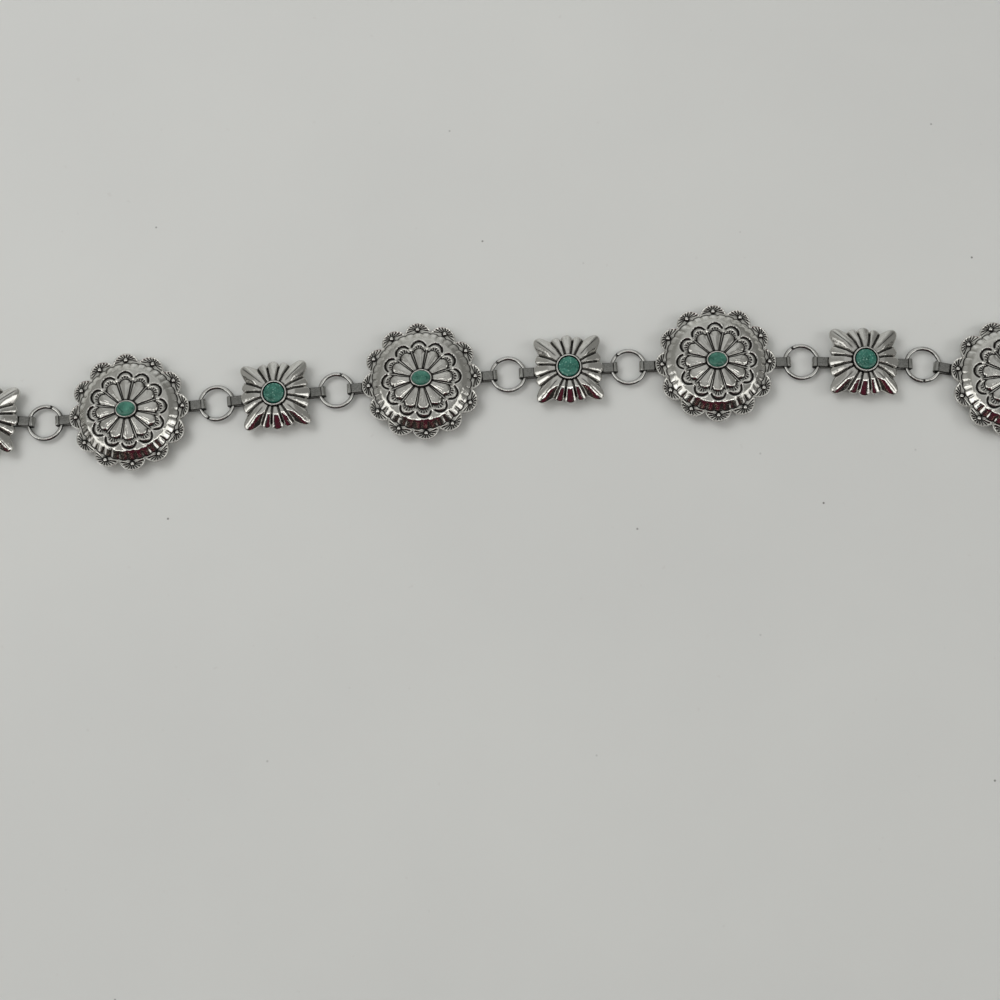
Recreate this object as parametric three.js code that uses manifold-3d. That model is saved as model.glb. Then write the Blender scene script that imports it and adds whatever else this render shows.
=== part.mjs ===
// A concho chain belt, laid out on a table in a wide arch.
// Domed, scalloped conchos with an oval stone alternate with smaller butterfly plates with a round
// stone. Split rings join them: each ring runs through two flat strap loops that are soldered behind
// the plates. One end of the belt has a plain hook, and the other a ring that takes it.
// Millimetres and degrees, +Z up. The table is z = 0, and the origin is under the middle of the belt.

import * as THREE from 'three';
import { mergeVertices } from 'three/addons/utils/BufferGeometryUtils.js';
import Module from 'manifold-3d';

const wasm = await Module();
wasm.setup();

// Split rings
const RING_OUTER_DIAMETER = 14.4;
const RING_WIRE = 1.5;
const RING_SPLIT = 0.4; // the cut that was pressed shut round the straps
const RING_STEPS = 12;
const WIRE_SIDES = 6;

// Strap loops: a flat strip folded round the ring's wire and soldered under the plate
const STRAP_WIDTH = 3.6;
const STRAP_THICKNESS = 0.6;
const STRAP_TUCK = 5.2; // length that lies under the plate, measured from the plate's edge
const STRAP_CORNER = 0.9;
const WIRE_CLEARANCE = 0.3; // above and below the wire, inside a loop
const LOOP_PLAY = 0.9; // on either side of the wire, along the strap
const RING_STAND_OFF = 3.75; // from a plate's edge to the ring's wire
const SOLDER_DEPTH = 0.2; // how far a strap is sunk into the plate's underside

// Both plates
const STONE_GAP = 0.3; // round and under a stone in its bezel
const STONE_SIDES = 12;

// Concho
const CONCHO_RADIUS = 23.3; // from the centre to a scallop's tip
const SCALLOPS = 12;
const SCALLOP_FULLNESS = 1.14; // a scallop's radius over half the distance between two of them
const FLANGE_THICKNESS = 1.3;
const DOME_HEIGHT = 5.0; // the crown above the flange's underside
const CONCHO_WALL = 1.1; // metal under the stone
const OVAL_LENGTH = 8.2; // the bezel's outside, along the belt
const OVAL_WIDTH = 6.8;
const CONCHO_BEZEL_WALL = 0.5;
const CONCHO_BEZEL_HEIGHT = 0.8;
const OVAL_STONE_RISE = 0.8; // the stone's crown above its bezel

// Butterfly
const BUTTERFLY_REACH = 13.2; // from the centre to the end of a side lobe
const LOBE_THICKNESS = 1.2; // at the lobes' ends
const BUTTERFLY_HEIGHT = 4.1; // the crown above the plate's underside
const BUTTERFLY_WALL = 1.3; // metal under the stone
const GROOVE_DEPTH = 0.6; // of the grooves between lobes
const ROUND_DIAMETER = 10.0; // the bezel's outside
const BUTTERFLY_BEZEL_WALL = 0.75;
const BUTTERFLY_BEZEL_HEIGHT = 1.1;
const ROUND_STONE_RISE = 0.7;

// Hook
const HOOK_WIDTH = 4.0;
const HOOK_THICKNESS = 1.2;
const HOOK_THROAT = 4.6; // inside height of the bend
const HOOK_SHANK = 15.5; // from the ring's wire to the centre of the bend
const HOOK_MOUTH = 6.2; // free length between the loop and the hook's tip
const HOOK_BEND_STEPS = 6;

// Sections of the concho, as shares of CONCHO_RADIUS and of the dome's rise over the flange.
// Each has its values on the middle of a petal and in the groove between two petals.
const CONCHO_FRONT = [
  { at: 'ends of the petals', petalRadius: 0.535, grooveRadius: 0.505, petalRise: 0.82, grooveRise: 0.68 },
  { at: 'edge of the flower', petalRadius: 0.675, grooveRadius: 0.535, petalRise: 0.6, grooveRise: 0.74 },
  { at: 'foot of the dome', petalRadius: 0.835, grooveRadius: 0.835, petalRise: 0, grooveRise: 0 },
];
const CONCHO_HOLLOW_RIM = 0.79; // share of CONCHO_RADIUS
const CONCHO_HOLLOW_SHOULDER = { radius: 0.62, rise: 0.59 }; // of CONCHO_RADIUS, and of the hollow

// Lobes of a quarter of the butterfly, from its side to its top. centre and half are degrees from
// the belt's line, tip and shoulder are shares of BUTTERFLY_REACH, and spread is a share of half.
const QUARTER_LOBES = [
  { lobe: 'side', centre: 0, half: 11.5, tip: 1.0, shoulder: 0.97, spread: 0.55 },
  { lobe: 'narrow by the side', centre: 20, half: 8.5, tip: 1.02, shoulder: 0.98, spread: 0.5 },
  { lobe: 'corner', centre: 45, half: 16.5, tip: 1.345, shoulder: 1.25, spread: 0.42 },
  { lobe: 'narrow by the top', centre: 70, half: 8.5, tip: 1.02, shoulder: 0.98, spread: 0.5 },
  { lobe: 'top', centre: 90, half: 11.5, tip: 0.99, shoulder: 0.965, spread: 0.55 },
];
const NOTCH_REACH = 0.93; // share of BUTTERFLY_REACH, between two lobes
const LOBE_KNEE = { reach: 0.55, rise: 0.62 }; // where a lobe turns down, from the bezel to its end
const BUTTERFLY_HOLLOW_RIM = 0.72; // share of BUTTERFLY_REACH

// The belt from its hook to its end ring, a row for each plate. heading is the way the plate's own
// line points, from +X, and seam is where the split of the ring after it lies.
const HOOK_RING_SEAM = 200;
const BELT = [
  { plate: 'concho', heading: 90, seam: 30 },
  { plate: 'butterfly', heading: 74, seam: 160 },
  { plate: 'concho', heading: 38, seam: 110 },
  { plate: 'butterfly', heading: -3, seam: 70 },
  { plate: 'concho', heading: 6.6, seam: 245 },
  { plate: 'butterfly', heading: 6.2, seam: 75 },
  { plate: 'concho', heading: 5.4, seam: 133 },
  { plate: 'butterfly', heading: 3.6, seam: 135 },
  { plate: 'concho', heading: 1.6, seam: 122 },
  { plate: 'butterfly', heading: -1.4, seam: 270 },
  { plate: 'concho', heading: -10.5, seam: 290 },
  { plate: 'butterfly', heading: -45, seam: 20 },
  { plate: 'concho', heading: -72, seam: 320 },
  { plate: 'butterfly', heading: -86, seam: 150 },
  { plate: 'concho', heading: -90, seam: 225 },
];

// Places that follow from the sizes above
const RING_RADIUS = (RING_OUTER_DIAMETER - RING_WIRE) / 2; // of the wire's centre line
const RING_LEVEL = STRAP_THICKNESS + WIRE_CLEARANCE + RING_WIRE / 2;
const LOOP_HEIGHT = RING_WIRE + 2 * (WIRE_CLEARANCE + STRAP_THICKNESS);
const LOOP_END = RING_WIRE / 2 + LOOP_PLAY + STRAP_THICKNESS; // beyond the wire's centre
const PLATE_LEVEL = LOOP_HEIGHT - SOLDER_DEPTH;
const SCALLOP_CENTRE = CONCHO_RADIUS / (1 + SCALLOP_FULLNESS * Math.sin(Math.PI / SCALLOPS));
const SCALLOP_RADIUS = CONCHO_RADIUS - SCALLOP_CENTRE;
const DOME_RISE = DOME_HEIGHT - FLANGE_THICKNESS;
const FULL_TURN = 2 * Math.PI;

const silver = new THREE.MeshStandardMaterial({ color: 0xb9b8b4, metalness: 1, roughness: 0.22 });
const steel = new THREE.MeshStandardMaterial({ color: 0xa9a9a6, metalness: 1, roughness: 0.2 });
const turquoise = new THREE.MeshStandardMaterial({ color: 0x2c7d6a, metalness: 0, roughness: 0.35 });

const radians = THREE.MathUtils.degToRad;

// A geometry as a solid, and a solid as a geometry

function solidOf(geometry) {
  const bare = geometry.clone();
  bare.deleteAttribute('normal');
  bare.deleteAttribute('uv');
  const merged = mergeVertices(bare);
  const mesh = new wasm.Mesh({
    numProp: 3,
    vertProperties: new Float32Array(merged.attributes.position.array),
    triVerts: new Uint32Array(merged.index.array),
  });
  return new wasm.Manifold(mesh);
}

function geometryOf(solid) {
  const { vertProperties, triVerts } = solid.getMesh();
  const geometry = new THREE.BufferGeometry();
  geometry.setAttribute('position', new THREE.BufferAttribute(vertProperties, 3));
  geometry.setIndex(new THREE.BufferAttribute(triVerts, 1));
  return geometry;
}

// Rings of points, and the skin over a stack of them

function ringOfPoints(angles, placeAt) {
  return angles.map((angle, i) => {
    const { radius, height } = placeAt(angle, i);
    return new THREE.Vector3(radius * Math.cos(angle), radius * Math.sin(angle), height);
  });
}

function evenAngles(count) {
  return Array.from({ length: count }, (_, i) => (i * FULL_TURN) / count);
}

// Goes from the middle of the front out over the rim to the middle of the back. Neighbouring rings
// have the same number of points, or one has a whole multiple of the other's.
function skin(rings) {
  const index = [];
  let innerStart = 0;
  for (let r = 0; r + 1 < rings.length; r += 1) {
    const inner = rings[r].length;
    const outer = rings[r + 1].length;
    const outerStart = innerStart + inner;
    const steps = Math.max(inner, outer);
    for (let k = 0; k < steps; k += 1) {
      const a = innerStart + Math.floor((k * inner) / steps);
      const nextA = innerStart + (Math.floor(((k + 1) * inner) / steps) % inner);
      const b = outerStart + Math.floor((k * outer) / steps);
      const nextB = outerStart + (Math.floor(((k + 1) * outer) / steps) % outer);
      if (b !== nextB) index.push(a, b, nextB);
      if (a !== nextA) index.push(a, nextB, nextA);
    }
    innerStart = outerStart;
  }
  const geometry = new THREE.BufferGeometry().setFromPoints(rings.flat());
  geometry.setIndex(index);
  return geometry;
}

// Distance from the centre to an ellipse's edge at an angle.
function ellipseRadius(angle, halfLength, halfWidth) {
  return (halfLength * halfWidth) / Math.hypot(halfWidth * Math.cos(angle), halfLength * Math.sin(angle));
}

// Seat, inner wall, lip and foot of a bezel. The foot may have more points than the rest.
function bezelRings({ angles, footAngles, halfLength, halfWidth, wall, floor, lip, footAt }) {
  const inside = (angle) => ellipseRadius(angle, halfLength - wall, halfWidth - wall);
  const outside = (angle) => ellipseRadius(angle, halfLength, halfWidth);
  return [
    [new THREE.Vector3(0, 0, floor)],
    ringOfPoints(angles, (angle) => ({ radius: inside(angle), height: floor })),
    ringOfPoints(angles, (angle) => ({ radius: inside(angle), height: lip })),
    ringOfPoints(angles, (angle) => ({ radius: outside(angle), height: lip })),
    ringOfPoints(footAngles, (angle, i) => ({ radius: outside(angle), height: footAt(i) })),
  ];
}

// Straps

// A rectangle with cut corners, in a plate's side view: x along the belt, y up.
function traceLoop(path, x0, x1, y0, y1, corner) {
  path.moveTo(x0 + corner, y0);
  path.lineTo(x1 - corner, y0);
  path.lineTo(x1, y0 + corner);
  path.lineTo(x1, y1 - corner);
  path.lineTo(x1 - corner, y1);
  path.lineTo(x0 + corner, y1);
  path.lineTo(x0, y1 - corner);
  path.lineTo(x0, y0 + corner);
  path.closePath();
  return path;
}

// The slot for the ring's wire, from x0 to x1.
function loopSlot(x0, x1) {
  const slot = new THREE.Path();
  slot.moveTo(x0, STRAP_THICKNESS);
  slot.lineTo(x1, STRAP_THICKNESS);
  slot.lineTo(x1, LOOP_HEIGHT - STRAP_THICKNESS);
  slot.lineTo(x0, LOOP_HEIGHT - STRAP_THICKNESS);
  slot.closePath();
  return slot;
}

// A side view, standing on the table and drawn out to a width across the belt.
function acrossTheBelt(shape, width) {
  const geometry = new THREE.ExtrudeGeometry(shape, {
    depth: width,
    bevelEnabled: false,
    curveSegments: HOOK_BEND_STEPS,
  });
  return geometry.rotateX(Math.PI / 2).translate(0, width / 2, 0);
}

// The loop on the +X side of a plate whose edge is edge away from its centre.
function strapGeometry(edge) {
  const inner = edge - STRAP_TUCK;
  const outer = edge + RING_STAND_OFF + LOOP_END;
  const shape = traceLoop(new THREE.Shape(), inner, outer, 0, LOOP_HEIGHT, STRAP_CORNER);
  shape.holes.push(loopSlot(inner + STRAP_THICKNESS, outer - STRAP_THICKNESS));
  return acrossTheBelt(shape, STRAP_WIDTH);
}

// A plate standing on its two strap loops, as one soldered solid.
function onStraps(plateGeometry, edge) {
  const plate = solidOf(plateGeometry.translate(0, 0, PLATE_LEVEL));
  const right = solidOf(strapGeometry(edge));
  const left = solidOf(strapGeometry(edge).rotateZ(Math.PI));
  return geometryOf(plate.add(right).add(left));
}

// Concho

// The scalloped outline: arcs centred on SCALLOP_CENTRE, one round the end of each petal.
function scallopRadius(angle) {
  const pitch = FULL_TURN / SCALLOPS;
  const offset = angle - pitch * Math.round(angle / pitch);
  const across = SCALLOP_CENTRE * Math.sin(offset);
  return SCALLOP_CENTRE * Math.cos(offset) + Math.sqrt(SCALLOP_RADIUS ** 2 - across ** 2);
}

// A front section: petal values at each scallop's angle, groove values half way between two.
function conchoFrontRing(section, count) {
  return ringOfPoints(evenAngles(count), (angle) => {
    const groove = (1 - Math.cos(SCALLOPS * angle)) / 2;
    const rise = THREE.MathUtils.lerp(section.petalRise, section.grooveRise, groove);
    return {
      radius: CONCHO_RADIUS * THREE.MathUtils.lerp(section.petalRadius, section.grooveRadius, groove),
      height: FLANGE_THICKNESS + DOME_RISE * rise,
    };
  });
}

function conchoGeometry() {
  const hollow = DOME_HEIGHT - CONCHO_WALL;
  const [petalEnds, flowerEdge, domeFoot] = CONCHO_FRONT;
  const outline = evenAngles(4 * SCALLOPS);
  const bezel = bezelRings({
    angles: evenAngles(SCALLOPS),
    footAngles: evenAngles(2 * SCALLOPS),
    halfLength: OVAL_LENGTH / 2,
    halfWidth: OVAL_WIDTH / 2,
    wall: CONCHO_BEZEL_WALL,
    floor: DOME_HEIGHT,
    lip: DOME_HEIGHT + CONCHO_BEZEL_HEIGHT,
    footAt: () => DOME_HEIGHT,
  });
  const front = [
    conchoFrontRing(petalEnds, 2 * SCALLOPS),
    conchoFrontRing(flowerEdge, 4 * SCALLOPS),
    conchoFrontRing(domeFoot, 2 * SCALLOPS),
    ringOfPoints(outline, (angle) => ({ radius: scallopRadius(angle), height: FLANGE_THICKNESS })),
  ];
  const shoulder = CONCHO_HOLLOW_SHOULDER;
  const back = [
    ringOfPoints(outline, (angle) => ({ radius: scallopRadius(angle), height: 0 })),
    ringOfPoints(evenAngles(2 * SCALLOPS), () => ({
      radius: CONCHO_RADIUS * CONCHO_HOLLOW_RIM,
      height: 0,
    })),
    ringOfPoints(evenAngles(SCALLOPS), () => ({
      radius: CONCHO_RADIUS * shoulder.radius,
      height: hollow * shoulder.rise,
    })),
    [new THREE.Vector3(0, 0, hollow)],
  ];
  return onStraps(skin([...bezel, ...front, ...back]), CONCHO_RADIUS);
}

// Butterfly

// All lobes in order round the plate, mirrored from the quarter's table.
function allLobes() {
  const lobes = QUARTER_LOBES.flatMap((row) => [
    row,
    { ...row, centre: 180 - row.centre },
    { ...row, centre: 180 + row.centre },
    { ...row, centre: 360 - row.centre },
  ]);
  const seen = new Map(lobes.map((row) => [row.centre % 360, { ...row, centre: row.centre % 360 }]));
  return [...seen.values()].sort((a, b) => a.centre - b.centre);
}

// Angles that each lobe starts with its notch: the notch alone, or with its ridge, or as an outline.
function lobeAngles(lobes, pick) {
  return lobes.flatMap((row) => pick(row).map(radians));
}

function butterflyGeometry() {
  const lobes = allLobes();
  const crown = BUTTERFLY_HEIGHT;
  const bezelRadius = ROUND_DIAMETER / 2;
  const notch = BUTTERFLY_REACH * NOTCH_REACH;
  const between = (reach, share) => bezelRadius + (reach - bezelRadius) * share;
  const kneeHeight = LOBE_THICKNESS + (crown - LOBE_THICKNESS) * LOBE_KNEE.rise;

  const notches = lobeAngles(lobes, (row) => [row.centre - row.half]);
  const ridges = lobeAngles(lobes, (row) => [row.centre - row.half, row.centre]);
  const outline = lobeAngles(lobes, (row) => [
    row.centre - row.half,
    row.centre - row.half * row.spread,
    row.centre,
    row.centre + row.half * row.spread,
  ]);
  const outlineReach = lobes.flatMap((row) => [
    notch,
    BUTTERFLY_REACH * row.shoulder,
    BUTTERFLY_REACH * row.tip,
    BUTTERFLY_REACH * row.shoulder,
  ]);

  const bezel = bezelRings({
    angles: notches,
    footAngles: ridges,
    halfLength: bezelRadius,
    halfWidth: bezelRadius,
    wall: BUTTERFLY_BEZEL_WALL,
    floor: crown,
    lip: crown + BUTTERFLY_BEZEL_HEIGHT,
    footAt: (i) => (i % 2 === 0 ? crown - GROOVE_DEPTH / 2 : crown),
  });
  const knee = ringOfPoints(ridges, (_, i) => {
    const isNotch = i % 2 === 0;
    const reach = isNotch ? notch : BUTTERFLY_REACH * lobes[(i - 1) / 2].tip;
    return {
      radius: between(reach, LOBE_KNEE.reach),
      height: isNotch ? kneeHeight - GROOVE_DEPTH : kneeHeight,
    };
  });
  const outlineAt = (height) => ringOfPoints(outline, (_, i) => ({ radius: outlineReach[i], height }));
  const hollowRim = ringOfPoints(notches, () => ({
    radius: BUTTERFLY_REACH * BUTTERFLY_HOLLOW_RIM,
    height: 0,
  }));
  const hollowTop = [new THREE.Vector3(0, 0, crown - BUTTERFLY_WALL)];
  const rings = [...bezel, knee, outlineAt(LOBE_THICKNESS), outlineAt(0), hollowRim, hollowTop];
  return onStraps(skin(rings), BUTTERFLY_REACH);
}

// Stones

// A cabochon: a straight girdle that fills its bezel and a low domed crown.
function stoneGeometry({ halfLength, halfWidth, seat, lip, rise }) {
  const halfSeat = halfLength - STONE_GAP;
  const girdle = lip - seat - STONE_GAP;
  const profile = [
    new THREE.Vector2(0, 0),
    new THREE.Vector2(halfSeat, 0),
    new THREE.Vector2(halfSeat, girdle),
    new THREE.Vector2(halfSeat * Math.cos(Math.PI / 4), girdle + rise * Math.sin(Math.PI / 4)),
    new THREE.Vector2(0, girdle + rise),
  ];
  return new THREE.LatheGeometry(profile, STONE_SIDES)
    .rotateX(Math.PI / 2)
    .scale(1, (halfWidth - STONE_GAP) / halfSeat, 1)
    .translate(0, 0, PLATE_LEVEL + seat + STONE_GAP);
}

function ovalStone() {
  return stoneGeometry({
    halfLength: OVAL_LENGTH / 2 - CONCHO_BEZEL_WALL,
    halfWidth: OVAL_WIDTH / 2 - CONCHO_BEZEL_WALL,
    seat: DOME_HEIGHT,
    lip: DOME_HEIGHT + CONCHO_BEZEL_HEIGHT,
    rise: OVAL_STONE_RISE,
  });
}

function roundStone() {
  const half = ROUND_DIAMETER / 2 - BUTTERFLY_BEZEL_WALL;
  return stoneGeometry({
    halfLength: half,
    halfWidth: half,
    seat: BUTTERFLY_HEIGHT,
    lip: BUTTERFLY_HEIGHT + BUTTERFLY_BEZEL_HEIGHT,
    rise: ROUND_STONE_RISE,
  });
}

// Rings and hook

// The wire's centre line, from one face of the split round to the other.
class RingPath extends THREE.Curve {
  getPoint(t) {
    const cut = RING_SPLIT / RING_RADIUS;
    const angle = cut / 2 + t * (FULL_TURN - cut);
    return new THREE.Vector3(RING_RADIUS * Math.cos(angle), RING_RADIUS * Math.sin(angle), RING_LEVEL);
  }
}

function ringGeometry() {
  const section = evenAngles(WIRE_SIDES).map(
    (angle) => new THREE.Vector2(Math.cos(angle), Math.sin(angle)).multiplyScalar(RING_WIRE / 2),
  );
  return new THREE.ExtrudeGeometry(new THREE.Shape(section), {
    steps: RING_STEPS,
    extrudePath: new RingPath(),
  });
}

// Side view of the hook with x from the ring's wire outwards: a strap loop, a shank and a U bend.
function hookGeometry() {
  const outerBend = HOOK_THROAT / 2 + HOOK_THICKNESS;
  const innerBend = HOOK_THROAT / 2;
  const tip = LOOP_END + HOOK_MOUTH;
  const shape = new THREE.Shape();
  shape.moveTo(-LOOP_END, 0);
  shape.lineTo(HOOK_SHANK, 0);
  shape.absarc(HOOK_SHANK, outerBend, outerBend, -Math.PI / 2, Math.PI / 2, false);
  shape.lineTo(tip, 2 * outerBend);
  shape.lineTo(tip, outerBend + innerBend);
  shape.lineTo(HOOK_SHANK, outerBend + innerBend);
  shape.absarc(HOOK_SHANK, outerBend, innerBend, Math.PI / 2, -Math.PI / 2, true);
  shape.lineTo(LOOP_END, HOOK_THICKNESS);
  shape.lineTo(LOOP_END, LOOP_HEIGHT);
  shape.lineTo(-LOOP_END, LOOP_HEIGHT);
  shape.closePath();
  shape.holes.push(loopSlot(STRAP_THICKNESS - LOOP_END, LOOP_END - STRAP_THICKNESS));
  return acrossTheBelt(shape, HOOK_WIDTH).translate(RING_RADIUS, 0, 0);
}

// The belt

const PLATES = {
  concho: { geometry: conchoGeometry(), stone: ovalStone(), reach: CONCHO_RADIUS },
  butterfly: { geometry: butterflyGeometry(), stone: roundStone(), reach: BUTTERFLY_REACH },
};

function mesh(name, geometry, material, place, heading) {
  const made = new THREE.Mesh(geometry, material);
  made.name = name;
  made.position.set(place.x, place.y, 0);
  made.rotation.z = radians(heading);
  return made;
}

function layBelt() {
  const belt = new THREE.Group();
  const ring = ringGeometry();
  const made = { concho: 0, butterfly: 0 };
  const place = new THREE.Vector2(0, 0);
  belt.add(mesh('hook', hookGeometry(), steel, place, BELT[0].heading + 180));
  belt.add(mesh('ring_1', ring, steel, place, HOOK_RING_SEAM));
  BELT.forEach(({ plate, heading, seam }, i) => {
    const { geometry, stone, reach } = PLATES[plate];
    const step = new THREE.Vector2(RING_RADIUS + RING_STAND_OFF + reach, 0);
    step.rotateAround(new THREE.Vector2(), radians(heading));
    made[plate] += 1;
    place.add(step);
    belt.add(mesh(`${plate}_${made[plate]}`, geometry, silver, place, heading));
    belt.add(mesh(`${plate}_stone_${made[plate]}`, stone, turquoise, place, heading));
    place.add(step);
    belt.add(mesh(`ring_${i + 2}`, ring, steel, place, seam));
  });
  return belt;
}

const belt = layBelt();
const middle = new THREE.Box3().setFromObject(belt, true).getCenter(new THREE.Vector3());
belt.position.set(-middle.x, -middle.y, 0);

export default belt;
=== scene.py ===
# %% [markdown]
# # A concho chain belt in Blender
#
# The belt lies on a pale table. Domed, scalloped conchos with an oval stone alternate with smaller
# butterfly plates with a round stone, and split rings join them through folded strap loops. The
# plates are polished silver-coloured metal whose stamped lines are blackened, which is what makes
# them readable, so most of this lesson is about relief: a plate is a surface over a polar grid, and
# its height is a formula of the distance from the middle and the angle round it.

import bpy
import numpy as np
from mathutils import Matrix, Vector


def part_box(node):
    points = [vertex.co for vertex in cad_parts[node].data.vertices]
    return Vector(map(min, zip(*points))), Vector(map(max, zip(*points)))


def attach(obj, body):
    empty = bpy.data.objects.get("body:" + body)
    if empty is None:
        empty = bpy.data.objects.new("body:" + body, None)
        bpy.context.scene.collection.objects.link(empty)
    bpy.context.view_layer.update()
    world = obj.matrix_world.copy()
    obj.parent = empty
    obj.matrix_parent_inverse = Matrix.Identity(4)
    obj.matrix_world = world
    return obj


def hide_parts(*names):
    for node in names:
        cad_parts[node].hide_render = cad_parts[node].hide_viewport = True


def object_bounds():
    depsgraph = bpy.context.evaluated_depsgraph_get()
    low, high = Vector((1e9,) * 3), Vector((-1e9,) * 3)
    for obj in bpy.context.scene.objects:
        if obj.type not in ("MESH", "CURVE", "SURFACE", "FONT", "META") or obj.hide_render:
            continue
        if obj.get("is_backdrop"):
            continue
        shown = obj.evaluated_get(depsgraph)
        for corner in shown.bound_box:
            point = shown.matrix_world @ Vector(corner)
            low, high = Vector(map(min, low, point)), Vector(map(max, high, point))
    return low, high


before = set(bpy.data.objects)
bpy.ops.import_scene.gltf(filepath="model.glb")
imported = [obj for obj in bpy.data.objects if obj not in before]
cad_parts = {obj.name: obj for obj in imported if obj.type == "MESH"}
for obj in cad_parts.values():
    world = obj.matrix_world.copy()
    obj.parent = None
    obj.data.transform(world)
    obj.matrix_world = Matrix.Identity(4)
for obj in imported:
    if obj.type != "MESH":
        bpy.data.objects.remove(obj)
cad_low, cad_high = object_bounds()
MM = 0.001
print("frame:", len(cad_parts), "nodes, from", tuple(cad_low), "to", tuple(cad_high))

# %% [markdown]
# ## Where everything lies
#
# The frame already has every piece as a plain solid. A stone's box gives the middle of its plate,
# and the rings on both sides of a plate give the way the plate points. Nothing is placed by eye:
# if the belt is laid out another way, every detailed piece follows.

# %% Plates and rings in the order of the belt
RINGS = 16


def middle(node):
    """Middle of a node's box, in millimetres."""
    low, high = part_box(node)
    return np.array(low + high) / 2 / MM


ring_middles = [middle(f"ring_{i + 1}") for i in range(RINGS)]
plates = []
for i in range(RINGS - 1):
    kind = "concho" if i % 2 == 0 else "butterfly"
    number = i // 2 + 1
    along = ring_middles[i + 1] - ring_middles[i]
    plates.append(
        {
            "node": f"{kind}_{number}",
            "kind": kind,
            "number": number,
            "centre": middle(f"{kind}_stone_{number}")[:2],
            "heading": np.arctan2(along[1], along[0]),
        }
    )
for plate in plates[5:8]:
    print(plate["node"], plate["centre"].round(2), np.degrees(plate["heading"]).round(1))

# %% [markdown]
# ## The camera
#
# The photograph looks down from nearly overhead, tipped about ten degrees towards the near side of
# the table, and shows seven and a half plates of the fifteen. Its place was worked out from the
# ring centres and the rim dots. It is kept here as a point on the table that lies in the middle of
# the picture, measured from the fourth concho, and an offset from there.

# %% Camera
SENSOR = 36.0
LENS = 47.573
AIM_FROM_CONCHO = np.array([30.3, -46.06, 0.0])
CAMERA_OFFSET = Vector((8.709, -88.718, 498.626))

fourth = plates[6]
aim = np.append(fourth["centre"], 0.0) + AIM_FROM_CONCHO
back = CAMERA_OFFSET.normalized()
up = back.cross(Vector((1, 0, 0))).normalized()
right = up.cross(back)
camera_data = bpy.data.cameras.new("camera")
camera_data.lens = LENS
camera_data.sensor_width = SENSOR
camera_data.clip_start = 0.01
camera = bpy.data.objects.new("camera", camera_data)
turn = Matrix((right, up, back)).transposed().to_4x4()
camera.matrix_world = Matrix.Translation((Vector(aim) + CAMERA_OFFSET) * MM) @ turn
bpy.context.collection.objects.link(camera)
bpy.context.scene.camera = camera
print("camera at", tuple(round(v, 4) for v in camera.location))

# %% [markdown]
# ## From arrays to a mesh
#
# All pieces are made in the same way. A piece is a stack of closed rows of points, like the rows of
# a knitted sock: four-sided faces join each row to the next. The two ends are either shut with a fan
# of triangles or joined to each other. Faces could be added one by one with bmesh, but whole arrays
# handed over with foreach_set are much quicker, and the formulas stay readable. Each point also
# carries a number from -1 to 1, its oxide. Above 0 it says how dark the metal is there, mostly
# blackening but on the straps and rings also painted shade, and below 0 how brightly it is rubbed,
# a lighter colour that also paints in highlights, so that the finish can follow the relief exactly.

# %% Skin over rows of points


def polar_points(radius, angle, height, oxide=0.0, out=0.0):
    """Points at a radius and an angle round a place that lies out along x, each at its height.

    Each may be a number or an array. The last axis of the result is x, y, z and oxide.
    """
    radius, angle, height, oxide = np.broadcast_arrays(radius, angle, height, oxide)
    x, y = out + radius * np.cos(angle), radius * np.sin(angle)
    return np.stack([x, y, height, oxide], axis=-1)


def skin(rows, loop=False):
    """Joins rows, an array (row, place in the row, x y z and oxide), into one closed skin.

    Each row is closed round, and faces point to the left of its direction, seen along the rows.
    With loop, the last row joins the first. Otherwise a point in the middle of each end row
    closes it.
    """
    count, around = rows.shape[:2]
    number = np.arange(count * around).reshape(count, around)
    if loop:
        number = np.vstack([number, number[:1]])
    ahead = np.roll(number, -1, axis=1)
    quads = np.stack([number[:-1], number[1:], ahead[1:], ahead[:-1]], axis=-1).reshape(-1, 4)
    points = rows.reshape(-1, 4)
    triangles = np.empty((0, 3), int)
    if not loop:
        start, end = len(points), len(points) + 1
        points = np.vstack([points, rows[0].mean(axis=0), rows[-1].mean(axis=0)])
        opening = np.stack([np.full(around, start), number[0], ahead[0]], axis=-1)
        closing = np.stack([np.full(around, end), ahead[-1], number[-1]], axis=-1)
        triangles = np.vstack([opening, closing])
    return {"points": points[:, :3], "oxide": points[:, 3], "quads": quads, "triangles": triangles}


def joined(skins):
    """Several skins as one, each keeping its own points; the slot of each is its place in the list."""
    offsets = np.cumsum([0] + [len(s["points"]) for s in skins[:-1]])
    whole = {key: np.concatenate([s[key] for s in skins]) for key in ("points", "oxide")}
    for key in ("quads", "triangles"):
        whole[key] = np.vstack([s[key] + o for s, o in zip(skins, offsets)])
        whole[key + "_slot"] = np.repeat(range(len(skins)), [len(s[key]) for s in skins])
    return whole


tube = skin(np.zeros((3, 8, 4)))
print("3 rows of 8 points:", len(tube["quads"]), "quads and", len(tube["triangles"]), "triangles")

# %% From a skin to an object


def turned(points, heading, centre):
    """Points turned about +Z by heading and moved so that the old origin lies at centre."""
    cos, sin = np.cos(heading), np.sin(heading)
    rotation = np.array([[cos, sin, 0], [-sin, cos, 0], [0, 0, 1]])
    return points @ rotation + np.array([centre[0], centre[1], 0.0])


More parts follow.
